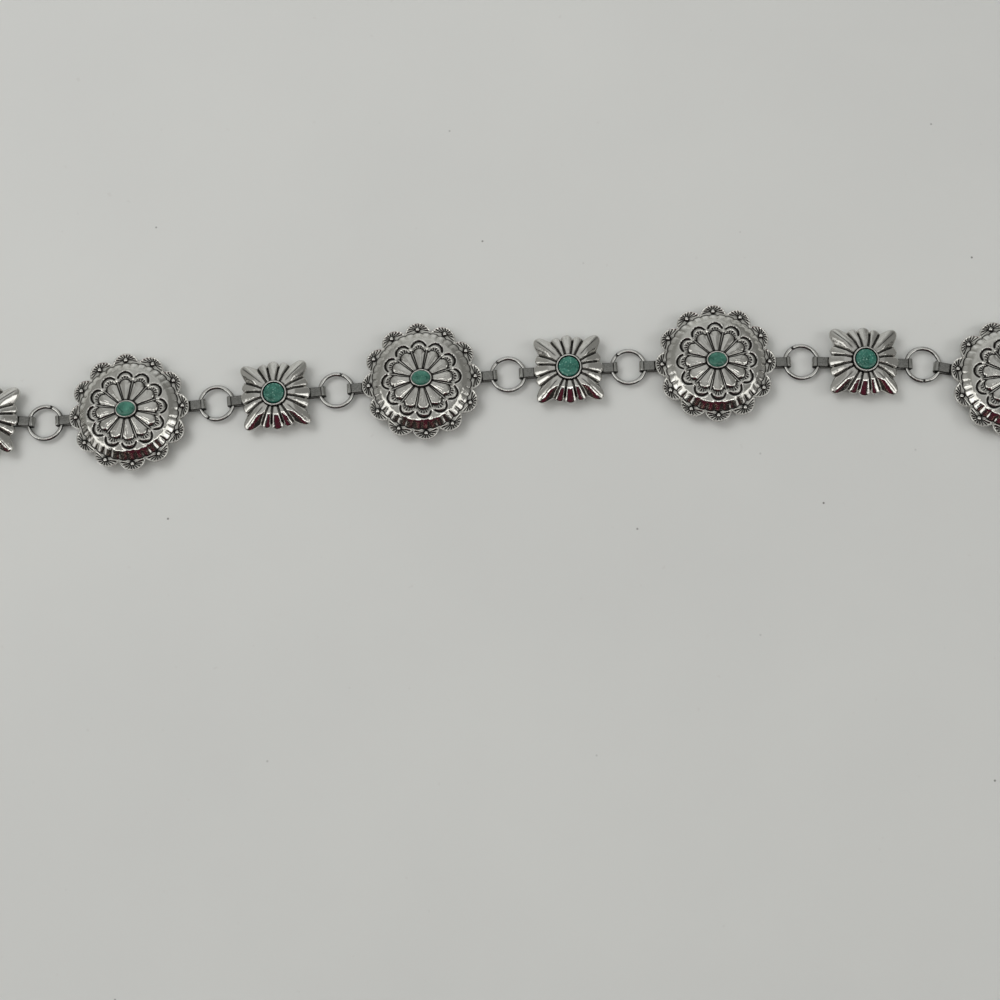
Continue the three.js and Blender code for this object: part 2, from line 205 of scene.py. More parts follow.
def make_piece(name, shape, heading, centre, materials, node):
    """A mesh object at the origin, with the piece's place in its points, which stands for a node."""
    mesh = bpy.data.meshes.new(name)
    points = turned(shape["points"], heading, centre) * MM
    quads, triangles = shape["quads"], shape["triangles"]
    mesh.vertices.add(len(points))
    mesh.vertices.foreach_set("co", points.astype(np.float32).ravel())
    corners = np.concatenate([quads.ravel(), triangles.ravel()]).astype(np.int32)
    starts = np.concatenate([np.arange(len(quads)) * 4, quads.size + np.arange(len(triangles)) * 3])
    mesh.loops.add(len(corners))
    mesh.loops.foreach_set("vertex_index", corners)
    mesh.polygons.add(len(starts))
    mesh.polygons.foreach_set("loop_start", starts.astype(np.int32))
    mesh.polygons.foreach_set("use_smooth", np.ones(len(starts), dtype=bool))
    if "quads_slot" in shape:
        slots = np.concatenate([shape["quads_slot"], shape["triangles_slot"]]).astype(np.int32)
        mesh.polygons.foreach_set("material_index", np.minimum(slots, len(materials) - 1))
    oxide = mesh.attributes.new("oxide", "FLOAT", "POINT")
    oxide.data.foreach_set("value", shape["oxide"].astype(np.float32))
    mesh.update(calc_edges=True)
    mesh.validate()
    for material in materials:
        mesh.materials.append(material)
    piece = bpy.data.objects.new(name, mesh)
    bpy.context.collection.objects.link(piece)
    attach(piece, "root")
    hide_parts(node)
    return piece


quarter_turn = turned(np.array([[1.0, 0.0, 0.0]]), np.pi / 2, (0, 0))
print("a quarter turn takes (1, 0, 0) to", tuple(quarter_turn[0].round(3)))

# %% Soft steps


def smooth_step(low, high, value):
    """0 below low, 1 above high, and an S-shaped curve between them."""
    share = np.clip((value - low) / (high - low), 0, 1)
    return share * share * (3 - 2 * share)


def bump(value, width):
    """A bell curve: 1 where value is 0, and about 0.37 where it is width."""
    return np.exp(-((value / width) ** 2))


print("a quarter of the way up a soft step:", smooth_step(0, 1, 0.25))

# %% [markdown]
# ## The finish
#
# The real plates are polished, dipped in a blackening bath and polished again, so the black stays
# only where the polishing wheel can't reach, and the high edges are rubbed brightest. That rubbed
# colour is lighter than the clean metal, so on lips, rims and bezels it is also a painted highlight,
# and on the straps and rings some of the black is painted shade. The black could be found by
# pointiness or painted on a picture, but here the same formulas that press the stamps also say where
# it stays, in the oxide attribute, and so it lies exactly on them. Three small effects are used by
# more than one material, so each is a node group: blackening, which darkens the metal where the oxide
# says so, fine wheel scratches, and faint cloudy tarnish.

# %% Helpers for shader nodes


def new_group(name, inputs, outputs):
    """An empty shader node group with named sockets, and its own input and output nodes."""
    group = bpy.data.node_groups.new(name, "ShaderNodeTree")
    for label, kind, default in inputs:
        item = group.interface.new_socket(name=label, in_out="INPUT", socket_type=kind)
        item.default_value = default
    for label, kind in outputs:
        group.interface.new_socket(name=label, in_out="OUTPUT", socket_type=kind)
    nodes = group.nodes
    return group, nodes.new("NodeGroupInput"), nodes.new("NodeGroupOutput")


def link(tree, source, target):
    """Joins an output socket to an input socket."""
    tree.links.new(source, target)


def plug(tree, socket, value):
    """Gives an input socket a value, or links an output socket to it."""
    if isinstance(value, (int, float, tuple)):
        socket.default_value = value
    else:
        link(tree, value, socket)


def math_node(tree, operation, *operands):
    """A Math node; the operands are sockets or numbers. Gives the output socket."""
    node = tree.nodes.new("ShaderNodeMath")
    node.operation = operation
    for socket, value in zip(node.inputs, operands):
        plug(tree, socket, value)
    return node.outputs[0]


def product(tree, first, second):
    """Two masks multiplied: full only where both are."""
    return math_node(tree, "MULTIPLY", first, second)


def mix_colour(tree, factor, first, second):
    """A colour mix; factor, first and second are sockets or values. Gives the output socket."""
    node = tree.nodes.new("ShaderNodeMix")
    node.data_type = "RGBA"
    for place, value in ((0, factor), (6, first), (7, second)):  # the sockets of a colour mix
        plug(tree, node.inputs[place], value)
    return node.outputs[2]


def noise(tree, vector, scale, detail=4.0, roughness=0.55, distortion=0.0):
    """A noise texture; on Object coordinates in metres its scale is in spots per metre."""
    node = tree.nodes.new("ShaderNodeTexNoise")
    node.inputs["Scale"].default_value = scale
    node.inputs["Detail"].default_value = detail
    node.inputs["Roughness"].default_value = roughness
    node.inputs["Distortion"].default_value = distortion
    link(tree, vector, node.inputs["Vector"])
    return node.outputs[0]


def ramp(tree, value, low, high):
    """Maps low..high to 0..1 and stops there."""
    node = tree.nodes.new("ShaderNodeMapRange")
    node.inputs["From Min"].default_value = low
    node.inputs["From Max"].default_value = high
    link(tree, value, node.inputs["Value"])
    return node.outputs[0]


print("node helpers:", [f.__name__ for f in (math_node, product, mix_colour, noise, ramp)])

# %% Node groups


def make_tarnish_group():
    """Cloudy tarnish and small stains: a mask from large soft noise plus sparse small spots."""
    group, given, result = new_group(
        "tarnish",
        [("Vector", "NodeSocketVector", (0, 0, 0)), ("Amount", "NodeSocketFloat", 0.5)],
        [("Mask", "NodeSocketFloat")],
    )
    clouds = ramp(group, noise(group, given.outputs["Vector"], scale=90, detail=5), 0.4, 0.75)
    spots = ramp(group, noise(group, given.outputs["Vector"], scale=1100, detail=2), 0.68, 0.78)
    both = math_node(group, "MAXIMUM", clouds, spots)
    link(group, product(group, both, given.outputs["Amount"]), result.inputs["Mask"])
    return group


def make_scratch_group():
    """Wheel scratches: noise stretched a hundredfold along one line, as a height and as a mask."""
    group, given, result = new_group(
        "scratches",
        [("Vector", "NodeSocketVector", (0, 0, 0)), ("Angle", "NodeSocketFloat", 0.0)],
        [("Height", "NodeSocketFloat"), ("Mask", "NodeSocketFloat")],
    )
    turn_node = group.nodes.new("ShaderNodeVectorRotate")
    turn_node.rotation_type = "Z_AXIS"
    link(group, given.outputs["Vector"], turn_node.inputs["Vector"])
    link(group, given.outputs["Angle"], turn_node.inputs["Angle"])
    stretch = group.nodes.new("ShaderNodeMapping")
    stretch.inputs["Scale"].default_value = (60, 5200, 2000)
    link(group, turn_node.outputs[0], stretch.inputs["Vector"])
    grain = noise(group, stretch.outputs[0], scale=1.0, detail=3, roughness=0.6)
    link(group, grain, result.inputs["Height"])
    link(group, ramp(group, grain, 0.62, 0.75), result.inputs["Mask"])
    return group


def make_blackening_group():
    """Blackening: black where the oxide is, broken up at its edge by fine noise."""
    group, given, result = new_group(
        "blackening",
        [
            ("Vector", "NodeSocketVector", (0, 0, 0)),
            ("Oxide", "NodeSocketFloat", 0.0),
            ("Metal", "NodeSocketColor", (0.7, 0.69, 0.67, 1)),
            ("Black", "NodeSocketColor", (0.02, 0.019, 0.018, 1)),
        ],
        [("Color", "NodeSocketColor"), ("Mask", "NodeSocketFloat")],
    )
    ragged = noise(group, given.outputs["Vector"], scale=3500, detail=3)
    shifted = math_node(group, "MULTIPLY_ADD", ragged, 0.7, -0.35)
    mask = ramp(group, math_node(group, "ADD", given.outputs["Oxide"], shifted), 0.25, 0.75)
    link(group, mask, result.inputs["Mask"])
    colour = mix_colour(group, mask, given.outputs["Metal"], given.outputs["Black"])
    link(group, colour, result.inputs["Color"])
    return group


TARNISH = make_tarnish_group()
SCRATCHES = make_scratch_group()
BLACKENING = make_blackening_group()
print("node groups:", [g.name for g in (TARNISH, SCRATCHES, BLACKENING)])

# %% Metals


def group_node(tree, group, **values):
    """A node group placed in a tree; values are sockets or numbers for its inputs."""
    node = tree.nodes.new("ShaderNodeGroup")
    node.node_tree = group
    for label, value in values.items():
        plug(tree, node.inputs[label], value)
    return node


def bump_node(tree, height, strength, distance):
    """A Bump node whose height socket runs from 0 to distance, in metres."""
    node = tree.nodes.new("ShaderNodeBump")
    node.inputs["Strength"].default_value = strength
    node.inputs["Distance"].default_value = distance
    link(tree, height, node.inputs["Height"])
    return node


# Rubbed-bright metal, lighter than the clean metal: also a painted highlight on lips and rims
BURNISH_AND_HIGHLIGHT = (0.95, 0.94, 0.91, 1)
TARNISHED_SHARE = 0.72  # of the clean metal's colour
SCRATCH_ROUGHNESS = 0.06  # added in a scratch
OXIDE_ROUGHNESS = 0.3  # added where the metal is black
WAVE_HEIGHT = 0.00024  # of the polisher's waves, in metres
SCRATCH_DEPTH = 0.00001  # in metres


def new_material(name):
    """A material, with its node tree, its surface shader and its Object coordinates."""
    material = bpy.data.materials.new(name)
    material.use_nodes = True
    tree = material.node_tree
    place = tree.nodes.new("ShaderNodeTexCoord").outputs["Object"]
    return material, tree, tree.nodes["Principled BSDF"], place


def make_metal(name, metal, shine, dull, scratch_angle=0.6, scratch_height=0.5, tarnish=0.5):
    """Polished metal with oxide, tarnish, scratches and the gentle waves of hand polishing.

    metal is its colour, shine its roughness where it is clean and dull where it is tarnished. Where
    the oxide attribute falls below 0 the metal is rubbed to a lighter colour, which is also a painted
    highlight on lips, rims and bezels.
    """
    material, tree, surface, place = new_material(name)
    surface.inputs["Metallic"].default_value = 1.0
    oxide = tree.nodes.new("ShaderNodeAttribute")
    oxide.attribute_name = "oxide"
    stain = group_node(tree, TARNISH, Vector=place, Amount=tarnish)
    lines = group_node(tree, SCRATCHES, Vector=place, Angle=scratch_angle)
    tarnished = tuple(TARNISHED_SHARE * c for c in metal[:3]) + (1,)
    stained = mix_colour(tree, stain.outputs["Mask"], metal, tarnished)
    # Below 0 the oxide mixes in the rubbed-bright colour, partly a painted highlight
    burnish_and_highlight = mix_colour(tree, ramp(tree, oxide.outputs["Fac"], 0, -1), stained, BURNISH_AND_HIGHLIGHT)
    black = group_node(tree, BLACKENING, Vector=place, Oxide=oxide.outputs["Fac"], Metal=burnish_and_highlight)
    link(tree, black.outputs["Color"], surface.inputs["Base Color"])
    worn = math_node(tree, "MULTIPLY_ADD", stain.outputs["Mask"], dull - shine, shine)
    scratched = math_node(tree, "MULTIPLY_ADD", lines.outputs["Mask"], SCRATCH_ROUGHNESS, worn)
    rough = math_node(tree, "MULTIPLY_ADD", black.outputs["Mask"], OXIDE_ROUGHNESS, scratched)
    link(tree, rough, surface.inputs["Roughness"])
    swell = noise(tree, place, scale=300, roughness=0.5)
    waves = bump_node(tree, swell, strength=1.0, distance=WAVE_HEIGHT)
    relief = bump_node(tree, lines.outputs["Height"], scratch_height, SCRATCH_DEPTH)
    link(tree, waves.outputs["Normal"], relief.inputs["Normal"])
    link(tree, relief.outputs["Normal"], surface.inputs["Normal"])
    return material


plate_silver = make_metal("plate_silver", (0.63, 0.62, 0.585, 1), shine=0.1, dull=0.22, tarnish=0.6)
strap_metal = make_metal(
    "strap_metal",
    (0.42, 0.42, 0.4, 1),
    shine=0.22,
    dull=0.4,
    scratch_angle=1.3,
    scratch_height=1.0,
    tarnish=0.9,
)
ring_metal = make_metal(
    "ring_metal",
    (0.56, 0.56, 0.54, 1),
    shine=0.1,
    dull=0.2,
    scratch_angle=0.2,
    scratch_height=0.3,
    tarnish=0.4,
)
print("metals:", plate_silver.name, strap_metal.name, ring_metal.name)

# %% [markdown]
# ## The stones
#
# The stones are green turquoise, or glass made to look like it: a dark blue-green with lighter
# clouds, dark specks, and a polished skin. A picture of a stone would repeat on all fifteen. Noise
# in Object coordinates doesn't: every stone is cut from another part of it and no two look alike.

# %% Turquoise
PIT_GREEN = (0.004, 0.02, 0.016, 1)


def make_turquoise(name, deep, middle_tone, pale, specks):
    """Cloudy stone: three greens mixed by two noises, with specks and a clear polish."""
    material, tree, surface, place = new_material(name)
    cloudy = noise(tree, place, scale=420, detail=6, roughness=0.6, distortion=0.6)
    clouds = ramp(tree, cloudy, 0.35, 0.68)
    flecks = ramp(tree, noise(tree, place, scale=1500, detail=3, roughness=0.6), 0.58, 0.72)
    pits = ramp(tree, noise(tree, place, scale=2400, detail=2, roughness=0.5), 0.66, 0.74)
    base = mix_colour(tree, clouds, deep, middle_tone)
    lighter = mix_colour(tree, product(tree, flecks, specks), base, pale)
    darker = mix_colour(tree, product(tree, pits, 0.55), lighter, PIT_GREEN)
    link(tree, darker, surface.inputs["Base Color"])
    rough = math_node(tree, "MULTIPLY_ADD", clouds, 0.12, 0.26)
    link(tree, rough, surface.inputs["Roughness"])
    surface.inputs["Coat Weight"].default_value = 0.25
    surface.inputs["Coat Roughness"].default_value = 0.2
    return material


oval_turquoise = make_turquoise(
    "oval_turquoise",
    deep=(0.012, 0.09, 0.062, 1),
    middle_tone=(0.055, 0.22, 0.16, 1),
    pale=(0.2, 0.42, 0.33, 1),
    specks=0.5,
)
round_turquoise = make_turquoise(
    "round_turquoise",
    deep=(0.008, 0.085, 0.06, 1),
    middle_tone=(0.035, 0.2, 0.15, 1),
    pale=(0.36, 0.64, 0.54, 1),
    specks=0.95,
)
print("stones:", oval_turquoise.name, round_turquoise.name)

# %% [markdown]
# ## Strap loops
#
# A strap is a flat strip folded back on itself round the ring's wire, with its ends soldered behind
# the plate. Here its centre line is a rounded rectangle in side view, closed, and the strip's
# section, a rectangle with eased corners, is carried along it. Both are closed curves, so the skin
# is a torus and needs no ends.

# %% Straps
STRAP_WIDTH = 3.7
STRAP_THICKNESS = 0.6
LOOP_HEIGHT = 3.3
STRAP_TUCK = 5.2  # behind the plate's edge
STRAP_REACH = 6.0  # beyond it
BEND_RADIUS = 0.75  # of the centre line where the strip turns back
BEND_POINTS = 7
EASED_CORNER = 0.26  # radius of the section's corners
FOLD_LENGTH = 1.5  # of the raised fold round the ring's wire
FOLD_STEP = 0.3  # down from the fold to the flat stretch
CREASE_DEPTH = 0.12  # below that stretch, where the fold ends


def rounded_box(length, height, radius, count):
    """Points round a rectangle with round corners, centred on the origin, with their normals.

    The corners are quarter circles of the given radius, each with count points.
    """
    turns = np.linspace(0, np.pi / 2, count)
    corners = []
    for i, (sx, sy) in enumerate([(1, 1), (-1, 1), (-1, -1), (1, -1)]):
        angle = turns + i * np.pi / 2
        cx, cy = sx * (length / 2 - radius), sy * (height / 2 - radius)
        normal = np.stack([np.cos(angle), np.sin(angle)], axis=-1)
        corners.append(np.concatenate([np.array([[cx, cy]]) + radius * normal, normal], axis=1))
    return np.vstack(corners)


def strap_loop(edge, side):
    """A strap's skin: a rounded-rectangle centre line in x and z, and a section across it.

    The upper run steps down behind the fold, and the strip is a little wider round the wire. It is
    blackened in the step. The dark line by the plate's edge is partly oxide and partly painted shade,
    and the dark along both edges of the strip is painted shade.
    """
    inner, outer = edge - STRAP_TUCK, edge + STRAP_REACH
    middle_x = (inner + outer) / 2
    half = STRAP_THICKNESS / 2
    box = rounded_box(outer - inner - 2 * half, LOOP_HEIGHT - 2 * half, BEND_RADIUS, BEND_POINTS)
    by_fold = np.linspace(outer - FOLD_LENGTH + 0.2, outer - FOLD_LENGTH - 0.5, 6)
    run = np.append(by_fold, edge + np.array([0.9, 0.5, 0.1])) - middle_x
    upper = np.stack([run, run * 0 + LOOP_HEIGHT / 2 - half, run * 0, run * 0 + 1], axis=-1)
    line_x, line_z, normal_x, normal_z = np.vstack([box[:BEND_POINTS], upper, box[BEND_POINTS:]]).T
    from_end = outer - middle_x - line_x
    on_top = (line_z > 0) & (normal_z > 0.5)
    step = smooth_step(FOLD_LENGTH - 0.05, FOLD_LENGTH + 0.25, from_end)
    crease = bump(from_end - FOLD_LENGTH - 0.12, 0.16)
    line_z = line_z - np.where(on_top, FOLD_STEP * step + CREASE_DEPTH * crease, 0)
    out, across = rounded_box(STRAP_THICKNESS, STRAP_WIDTH, EASED_CORNER, 4)[:, :2].T
    x = line_x[:, None] + np.outer(normal_x, out) + middle_x
    y = np.outer(1.06 - 0.06 * smooth_step(0.6, 1.4, from_end / FOLD_LENGTH), across)
    z = line_z[:, None] + np.outer(normal_z, out) + LOOP_HEIGHT / 2
    # Dark line where the strap meets the plate's edge: partly oxide, partly painted contact shade
    by_plate = 0.9 * smooth_step(STRAP_REACH - 0.45, STRAP_REACH - 0.1, from_end)
    grain = np.where(on_top, np.maximum(0.12 + 0.3 * step + 0.6 * crease, by_plate), 0.35)
    # Darker along both edges of the strip: painted shade
    sides = 0.7 * smooth_step(STRAP_WIDTH / 2 - 0.35, STRAP_WIDTH / 2 - 0.1, np.abs(across))
    rows = np.stack([side * x, side * y, z, np.maximum.outer(grain, sides)], axis=-1)
    return skin(rows[:, ::-1], loop=True)


print("strap loop:", len(strap_loop(edge=0, side=1)["quads"]), "faces")

# %% [markdown]
# ## The concho
#
# A concho is struck from sheet in one blow, so its relief is a single height over the plane. It
# could be sculpted, or displaced by a picture of the stamps, but a height worked out at every point
# keeps each edge where it belongs. The dome's grid is polar, with 40 columns to each of the twelve
# sectors, and the columns gather where the detail is: at the grooves near the middle and at the
# petals' ends further out. The bare dome comes first, with the beads that run down its wall.

# %% The bare dome
PLATE_LEVEL = 3.1  # a plate's underside above the table
SECTORS = 12
COLUMNS = 40 * SECTORS
HALF_PITCH = np.pi / SECTORS
CONCHO_RADIUS = 23.3
FLANGE = 1.3
DOME_HEIGHT = 5.0
DOME_KNEE = 16.4  # where the shallow dome turns down into its wall
DOME_FOOT = 19.4
KNEE_DROP = 1.55  # from the crown to the knee
KNEE_CORNER = 0.24  # how soft the corner there is
BEADS = 36
BEAD_DEPTH = 0.65  # how much nearer to the middle the wall's foot is between two beads


def ellipse_radius(angle, half):
    """Distance from the middle to the edge of an ellipse at an angle."""
    return half[0] * half[1] / np.hypot(half[1] * np.cos(angle), half[0] * np.sin(angle))


def sector_angles(gather):
    """Angles of the columns. Positive gather draws them to the petals' middles, negative away."""
    step = np.arange(COLUMNS) / COLUMNS * SECTORS
    near = np.round(step)
    share = 2 * (step - near)
    bent = share - gather * np.sin(np.pi * share) / np.pi
    return (near + bent / 2) * 2 * HALF_PITCH


def from_petal(radius, angle):
    """Distances along and across the axis of the nearest petal, and the angle from that axis."""
    offset = angle - 2 * HALF_PITCH * np.round(angle / (2 * HALF_PITCH))
    return radius * np.cos(offset), radius * np.sin(offset), offset


def dome(radius, angle):
    """Height of the bare dome, and how hollow its wall is there: 0 on a bead, 1 between two.

    It falls as the square of the radius, and past the knee a wall falls away from it at a steady
    slope, which a soft corner (the logarithm of 1 plus an exponential) joins to it. Beads make the
    wall full and hollow in turn, as the distance of a cosine from 0 does, more so towards its foot.
    """
    shallow = KNEE_DROP * (radius / DOME_KNEE) ** 2
    foot_drop = KNEE_DROP * (DOME_FOOT / DOME_KNEE) ** 2
    slope = (DOME_HEIGHT - FLANGE - foot_drop) / (DOME_FOOT - DOME_KNEE)
    hollow = (1 - np.abs(np.cos(angle * BEADS / 2))) ** 1.7
    pulled_in = BEAD_DEPTH * hollow * smooth_step(DOME_KNEE - 0.6, DOME_KNEE + 1.8, radius)
    past_knee = (radius - DOME_KNEE + pulled_in) / KNEE_CORNER
    wall = slope * KNEE_CORNER * np.log1p(np.exp(past_knee))
    return DOME_HEIGHT - shallow - wall, hollow


print("the bare dome at its knee:", round(float(dome(DOME_KNEE, 0.0)[0]), 2), "mm high")

# %% [markdown]
# ## Stamps
#
# The flower on the dome is punched: over the end of each of its twelve petals an arch, a comb of
# short strokes and a crescent, and between the petals grooves that end in a bead. Every stamp is a
# formula of the distances to its own circles and lines. It gives a height and its own blackening,
# and the relief is the plain sum of them. Raised edges are rubbed bright, a lighter colour that also
# paints highlights along them.

# %% Stamps on the dome
CRESCENT_CENTRE = 12.5
CRESCENT_RADIUS = 3.12
INNER_CENTRE = 11.7  # of the circle that bounds the crescent inside
INNER_RADIUS = 2.42
CRESCENT_BLACK = 0.78  # width of its black part, the rest of its floor is only dulled
COMB_CLEARANCE = 0.35  # from the crescent's inner edge to the ends of the comb's strokes
ARCH_CENTRE = 10.6
ARCH = np.array([1.5, 2.1])  # half length along the petal and half width
COMB_STROKES = 22  # in a whole turn round an arch
CRESCENT_DEPTH = 0.45
LIP_RISE = 0.12  # of the crescent's inner lip
RIM_RISE = 0.1  # of its outer rim
COMB_DEPTH = 0.17
ARCH_DEPTH = 0.24
PETAL_STEP = 0.2  # how much lower the petal's end and the comb lie


def flower_stamps(radius, angle):
    """Height, blackening and burnish of the stamps at the end of each petal.

    The crescent lies between two circles, past_edge within the outer one and past_inner beyond the
    inner one. It is cut steeply at its outer edge and rises slowly from there, with a thin lip on
    both sides. The arch that closes the petal is half an ellipse, where inner is 1. The comb is a
    row of short strokes from the arch out, and a plain light band parts it from the crescent. The
    petal's end and the comb lie a little lower than the rest.
    """
    along, across, _ = from_petal(radius, angle)
    out = along - CRESCENT_CENTRE
    past_edge = CRESCENT_RADIUS - np.hypot(out, across)
    past_inner = np.hypot(along - INNER_CENTRE, across) - INNER_RADIUS
    inner = np.hypot((along - ARCH_CENTRE) / ARCH[0], across / ARCH[1])
    over = smooth_step(0.0, 0.3, out)
    cut = smooth_step(-0.04, 0.2, past_edge)
    crescent = cut * np.clip(past_inner / 1.1, 0, 1) * over
    black = 1 - smooth_step(CRESCENT_BLACK - 0.1, CRESCENT_BLACK + 0.15, past_edge)
    floor_dark = np.maximum(1.3 * black, 0.45) * smooth_step(-0.1, 0.1, past_inner)
    band_dark = smooth_step(-0.1, 0.05, past_edge) * floor_dark * over
    lip = bump(past_inner + 0.2, 0.2) * over * cut
    rim = bump(past_edge + 0.22, 0.17) * over
    turn_angle = np.arctan2(across / ARCH[1], (along - ARCH_CENTRE) / ARCH[0])
    stroke = smooth_step(0.35, 0.6, 0.5 + 0.5 * np.cos(turn_angle * COMB_STROKES))
    ends = smooth_step(COMB_CLEARANCE, COMB_CLEARANCE + 0.15, -past_inner)
    combed = smooth_step(1.1, 1.16, inner) * ends * (np.abs(turn_angle) < 1.5)
    comb = stroke * combed
    arch = bump(inner - 1.0, 0.15) * smooth_step(-0.35, 0.1, along - ARCH_CENTRE)
    low = smooth_step(0.45, 1.0, inner) * smooth_step(8.6, 10.6, along)
    low = low * (1 - smooth_step(-0.5, 0.2, past_inner))
    sunk = CRESCENT_DEPTH * crescent + COMB_DEPTH * comb + ARCH_DEPTH * arch + PETAL_STEP * low
    height = LIP_RISE * lip + RIM_RISE * rim - sunk
    dark = np.maximum.reduce([band_dark, 1.15 * comb, 0.3 * combed, 1.3 * arch])
    return height, np.clip(dark, 0, 1), np.maximum(lip, rim)


along_petal = np.linspace(ARCH_CENTRE, DOME_KNEE, 60)
deepest = flower_stamps(along_petal, 0 * along_petal)[0].min()
print("the flower's deepest stamp:", round(float(-deepest), 2), "mm")

# %% Grooves and petals
PETAL_END = 11.4
PETAL_FULLNESS = 0.24
NODE_RADIUS = 12.9  # where the feet of two crescents meet
NODE_RISE = 0.25  # of the bead there, which closes a groove
GROOVE_EDGE_DEPTH = 0.2
GROOVE_FLOOR_DEPTH = 0.16


def groove_stamps(radius, angle, bezel):
    """Height, blackening and burnish of the grooves between petals: a trough with two black edges.

    Its floor stays lighter, and it widens as it runs out to between the feet of two crescents,
    where a small bright bead closes it.
    """
    beside = angle - 2 * HALF_PITCH * (np.floor(angle / (2 * HALF_PITCH)) + 0.5)
    away = np.abs(radius * np.sin(beside))
    half = 0.25 + 0.16 * smooth_step(bezel + 0.2, NODE_RADIUS - 1.0, radius)
    start = smooth_step(bezel - 0.2, bezel + 0.6, radius)
    run = start * (1 - smooth_step(NODE_RADIUS - 1.2, NODE_RADIUS - 0.6, radius))
    edges = bump(away - half, 0.25)
    floor = 1 - smooth_step(half - 0.1, half + 0.1, away)
    bead = bump(np.hypot(away, radius - NODE_RADIUS), 0.42)
    height = NODE_RISE * bead - (GROOVE_EDGE_DEPTH * edges + GROOVE_FLOOR_DEPTH * floor) * run
    dark = np.maximum(1.3 * edges, 0.2 * floor) * run
    return height, np.clip(dark, 0, 1) * (1 - bead), bead


def petal_crown(radius, angle, bezel):
    """Each petal is a little fuller along its axis than at the grooves, with faint creases."""
    _, across, offset = from_petal(radius, angle)
    full = 0.5 + 0.5 * np.cos(offset * SECTORS)
    reach = smooth_step(bezel, bezel + 4.0, radius)
    reach = reach * (1 - smooth_step(PETAL_END, NODE_RADIUS + 2.7, radius))
    creases = bump(across, 0.16) - 0.7 * bump(np.abs(across) - 0.13 * radius, 0.2)
    faint = 0.08 * creases * (1 - smooth_step(9.0, 10.8, radius))
    return (PETAL_FULLNESS * (full - 1) + faint) * reach


trough = groove_stamps(np.array([8.0]), np.array([HALF_PITCH]), bezel=4.0)[0]
print("a groove halfway out:", round(float(-trough[0]), 2), "mm deep")

# %% The dome's rows
BEZEL_OUTSIDE = np.array([4.1, 3.4])
BEZEL_WALL = 0.5
BEZEL_HEIGHT = 0.8
PETAL_ROWS = 8
FLOWER_ROWS = 27
WALL_ROWS = 12
BACK_OXIDE = 0.3  # the hidden backs are only dulled


def front_row(radius, angle, bezel):
    """One row over the flower: the dome with its petals and every stamp on it."""
    stamps, dark, bright = flower_stamps(radius, angle)
    grooves, groove_dark, groove_bright = groove_stamps(radius, angle, bezel)
    plain, _ = dome(radius, angle)
    height = plain + petal_crown(radius, angle, bezel) + stamps + grooves
    dark = np.maximum(dark, groove_dark)
    polish = 0.25 * (1 - smooth_step(9.5, 11.0, radius))
    burnish_and_sheen = np.maximum(polish, 0.8 * np.maximum(bright, groove_bright))
    burnish_and_sheen = burnish_and_sheen * (1 - smooth_step(0.1, 0.5, dark))
    return polar_points(radius, angle, height, dark - burnish_and_sheen)


def wall_row(radius, angle):
    """One row of the wall: black at its foot, dull between the beads, bright on their crests."""
    height, hollow = dome(radius, angle)
    creases = smooth_step(0.5, 0.9, hollow) * smooth_step(DOME_KNEE + 1.5, DOME_KNEE + 2.2, radius)
    foot = 1 - smooth_step(0.05, 0.45, height - FLANGE)
    crest = 1 - smooth_step(0.0, 0.4, hollow)
    crest = crest * smooth_step(DOME_KNEE + 0.8, DOME_KNEE + 1.6, radius)
    dark = np.maximum(0.5 * creases, foot)
    oxide = np.where(dark > 0, dark, -0.5 * crest)
    return polar_points(radius, angle, np.maximum(height, FLANGE - 0.3), oxide)


def dome_rows():
    """Rows from the stone's seat over the bezel and the front, and back along the hollow side."""
    near = sector_angles(-0.45)
    outer = ellipse_radius(near, BEZEL_OUTSIDE)
    inner = ellipse_radius(near, BEZEL_OUTSIDE - BEZEL_WALL)
    lip = DOME_HEIGHT + BEZEL_HEIGHT
    bezel = [
        (inner, DOME_HEIGHT, 1.0),
        (inner, lip - 0.16, 0.9),
        # The bezel's top is rubbed lighter: partly a painted highlight on it
        (inner + 0.07, lip, -0.5),
        (outer - 0.2, lip, -0.3),
        (outer - 0.02, lip - 0.14, 0.4),
        (outer + 0.02, DOME_HEIGHT + 0.1, 0.9),
        (outer + 0.12, DOME_HEIGHT - 0.14, 1.0),
    ]
    rows = [polar_points(radius, near, height, oxide) for radius, height, oxide in bezel]

    petal_start = outer + 0.32
    flower_start = ARCH_CENTRE - 1.3
    for share in np.linspace(0, 1, PETAL_ROWS):
        radius = petal_start + share * (flower_start - petal_start)
        rows.append(front_row(radius, sector_angles(-0.45 + 0.3 * share), outer))
    rows[len(bezel)][:, 3] = 0.9  # black in the corner under the bezel
    for share in np.linspace(0, 1, FLOWER_ROWS)[1:]:
        radius = flower_start + share * (DOME_KNEE - 0.5 - flower_start)
        gather = -0.15 + 0.5 * smooth_step(0, 0.4, share) - 0.35 * smooth_step(0.8, 1, share)
        rows.append(front_row(radius, sector_angles(gather), outer))

    even = sector_angles(0.0)
    wall = np.linspace(DOME_KNEE - 0.25, DOME_FOOT + 0.2, WALL_ROWS)
    rows += [wall_row(radius, even) for radius in wall]
    for radius, height in [(DOME_FOOT, 0.5), (17.2, 1.2), (12.0, 3.3), (3.0, 3.9)]:
        rows.append(polar_points(radius, even, height, BACK_OXIDE))
    return np.array(rows) + [0, 0, PLATE_LEVEL, 0]


dome_points = dome_rows()
print("dome:", len(dome_points), "rows of", COLUMNS)

# %% [markdown]
# ## Scallops
#
# Round the dome lie twelve scallops, each with a raised dot and a fan of blackened lines that start
# at it. On the dome's grid these lines would cross the columns and look stepped. So a scallop is a
# tablet of its own with a polar grid round its dot, and the lines run along its columns.

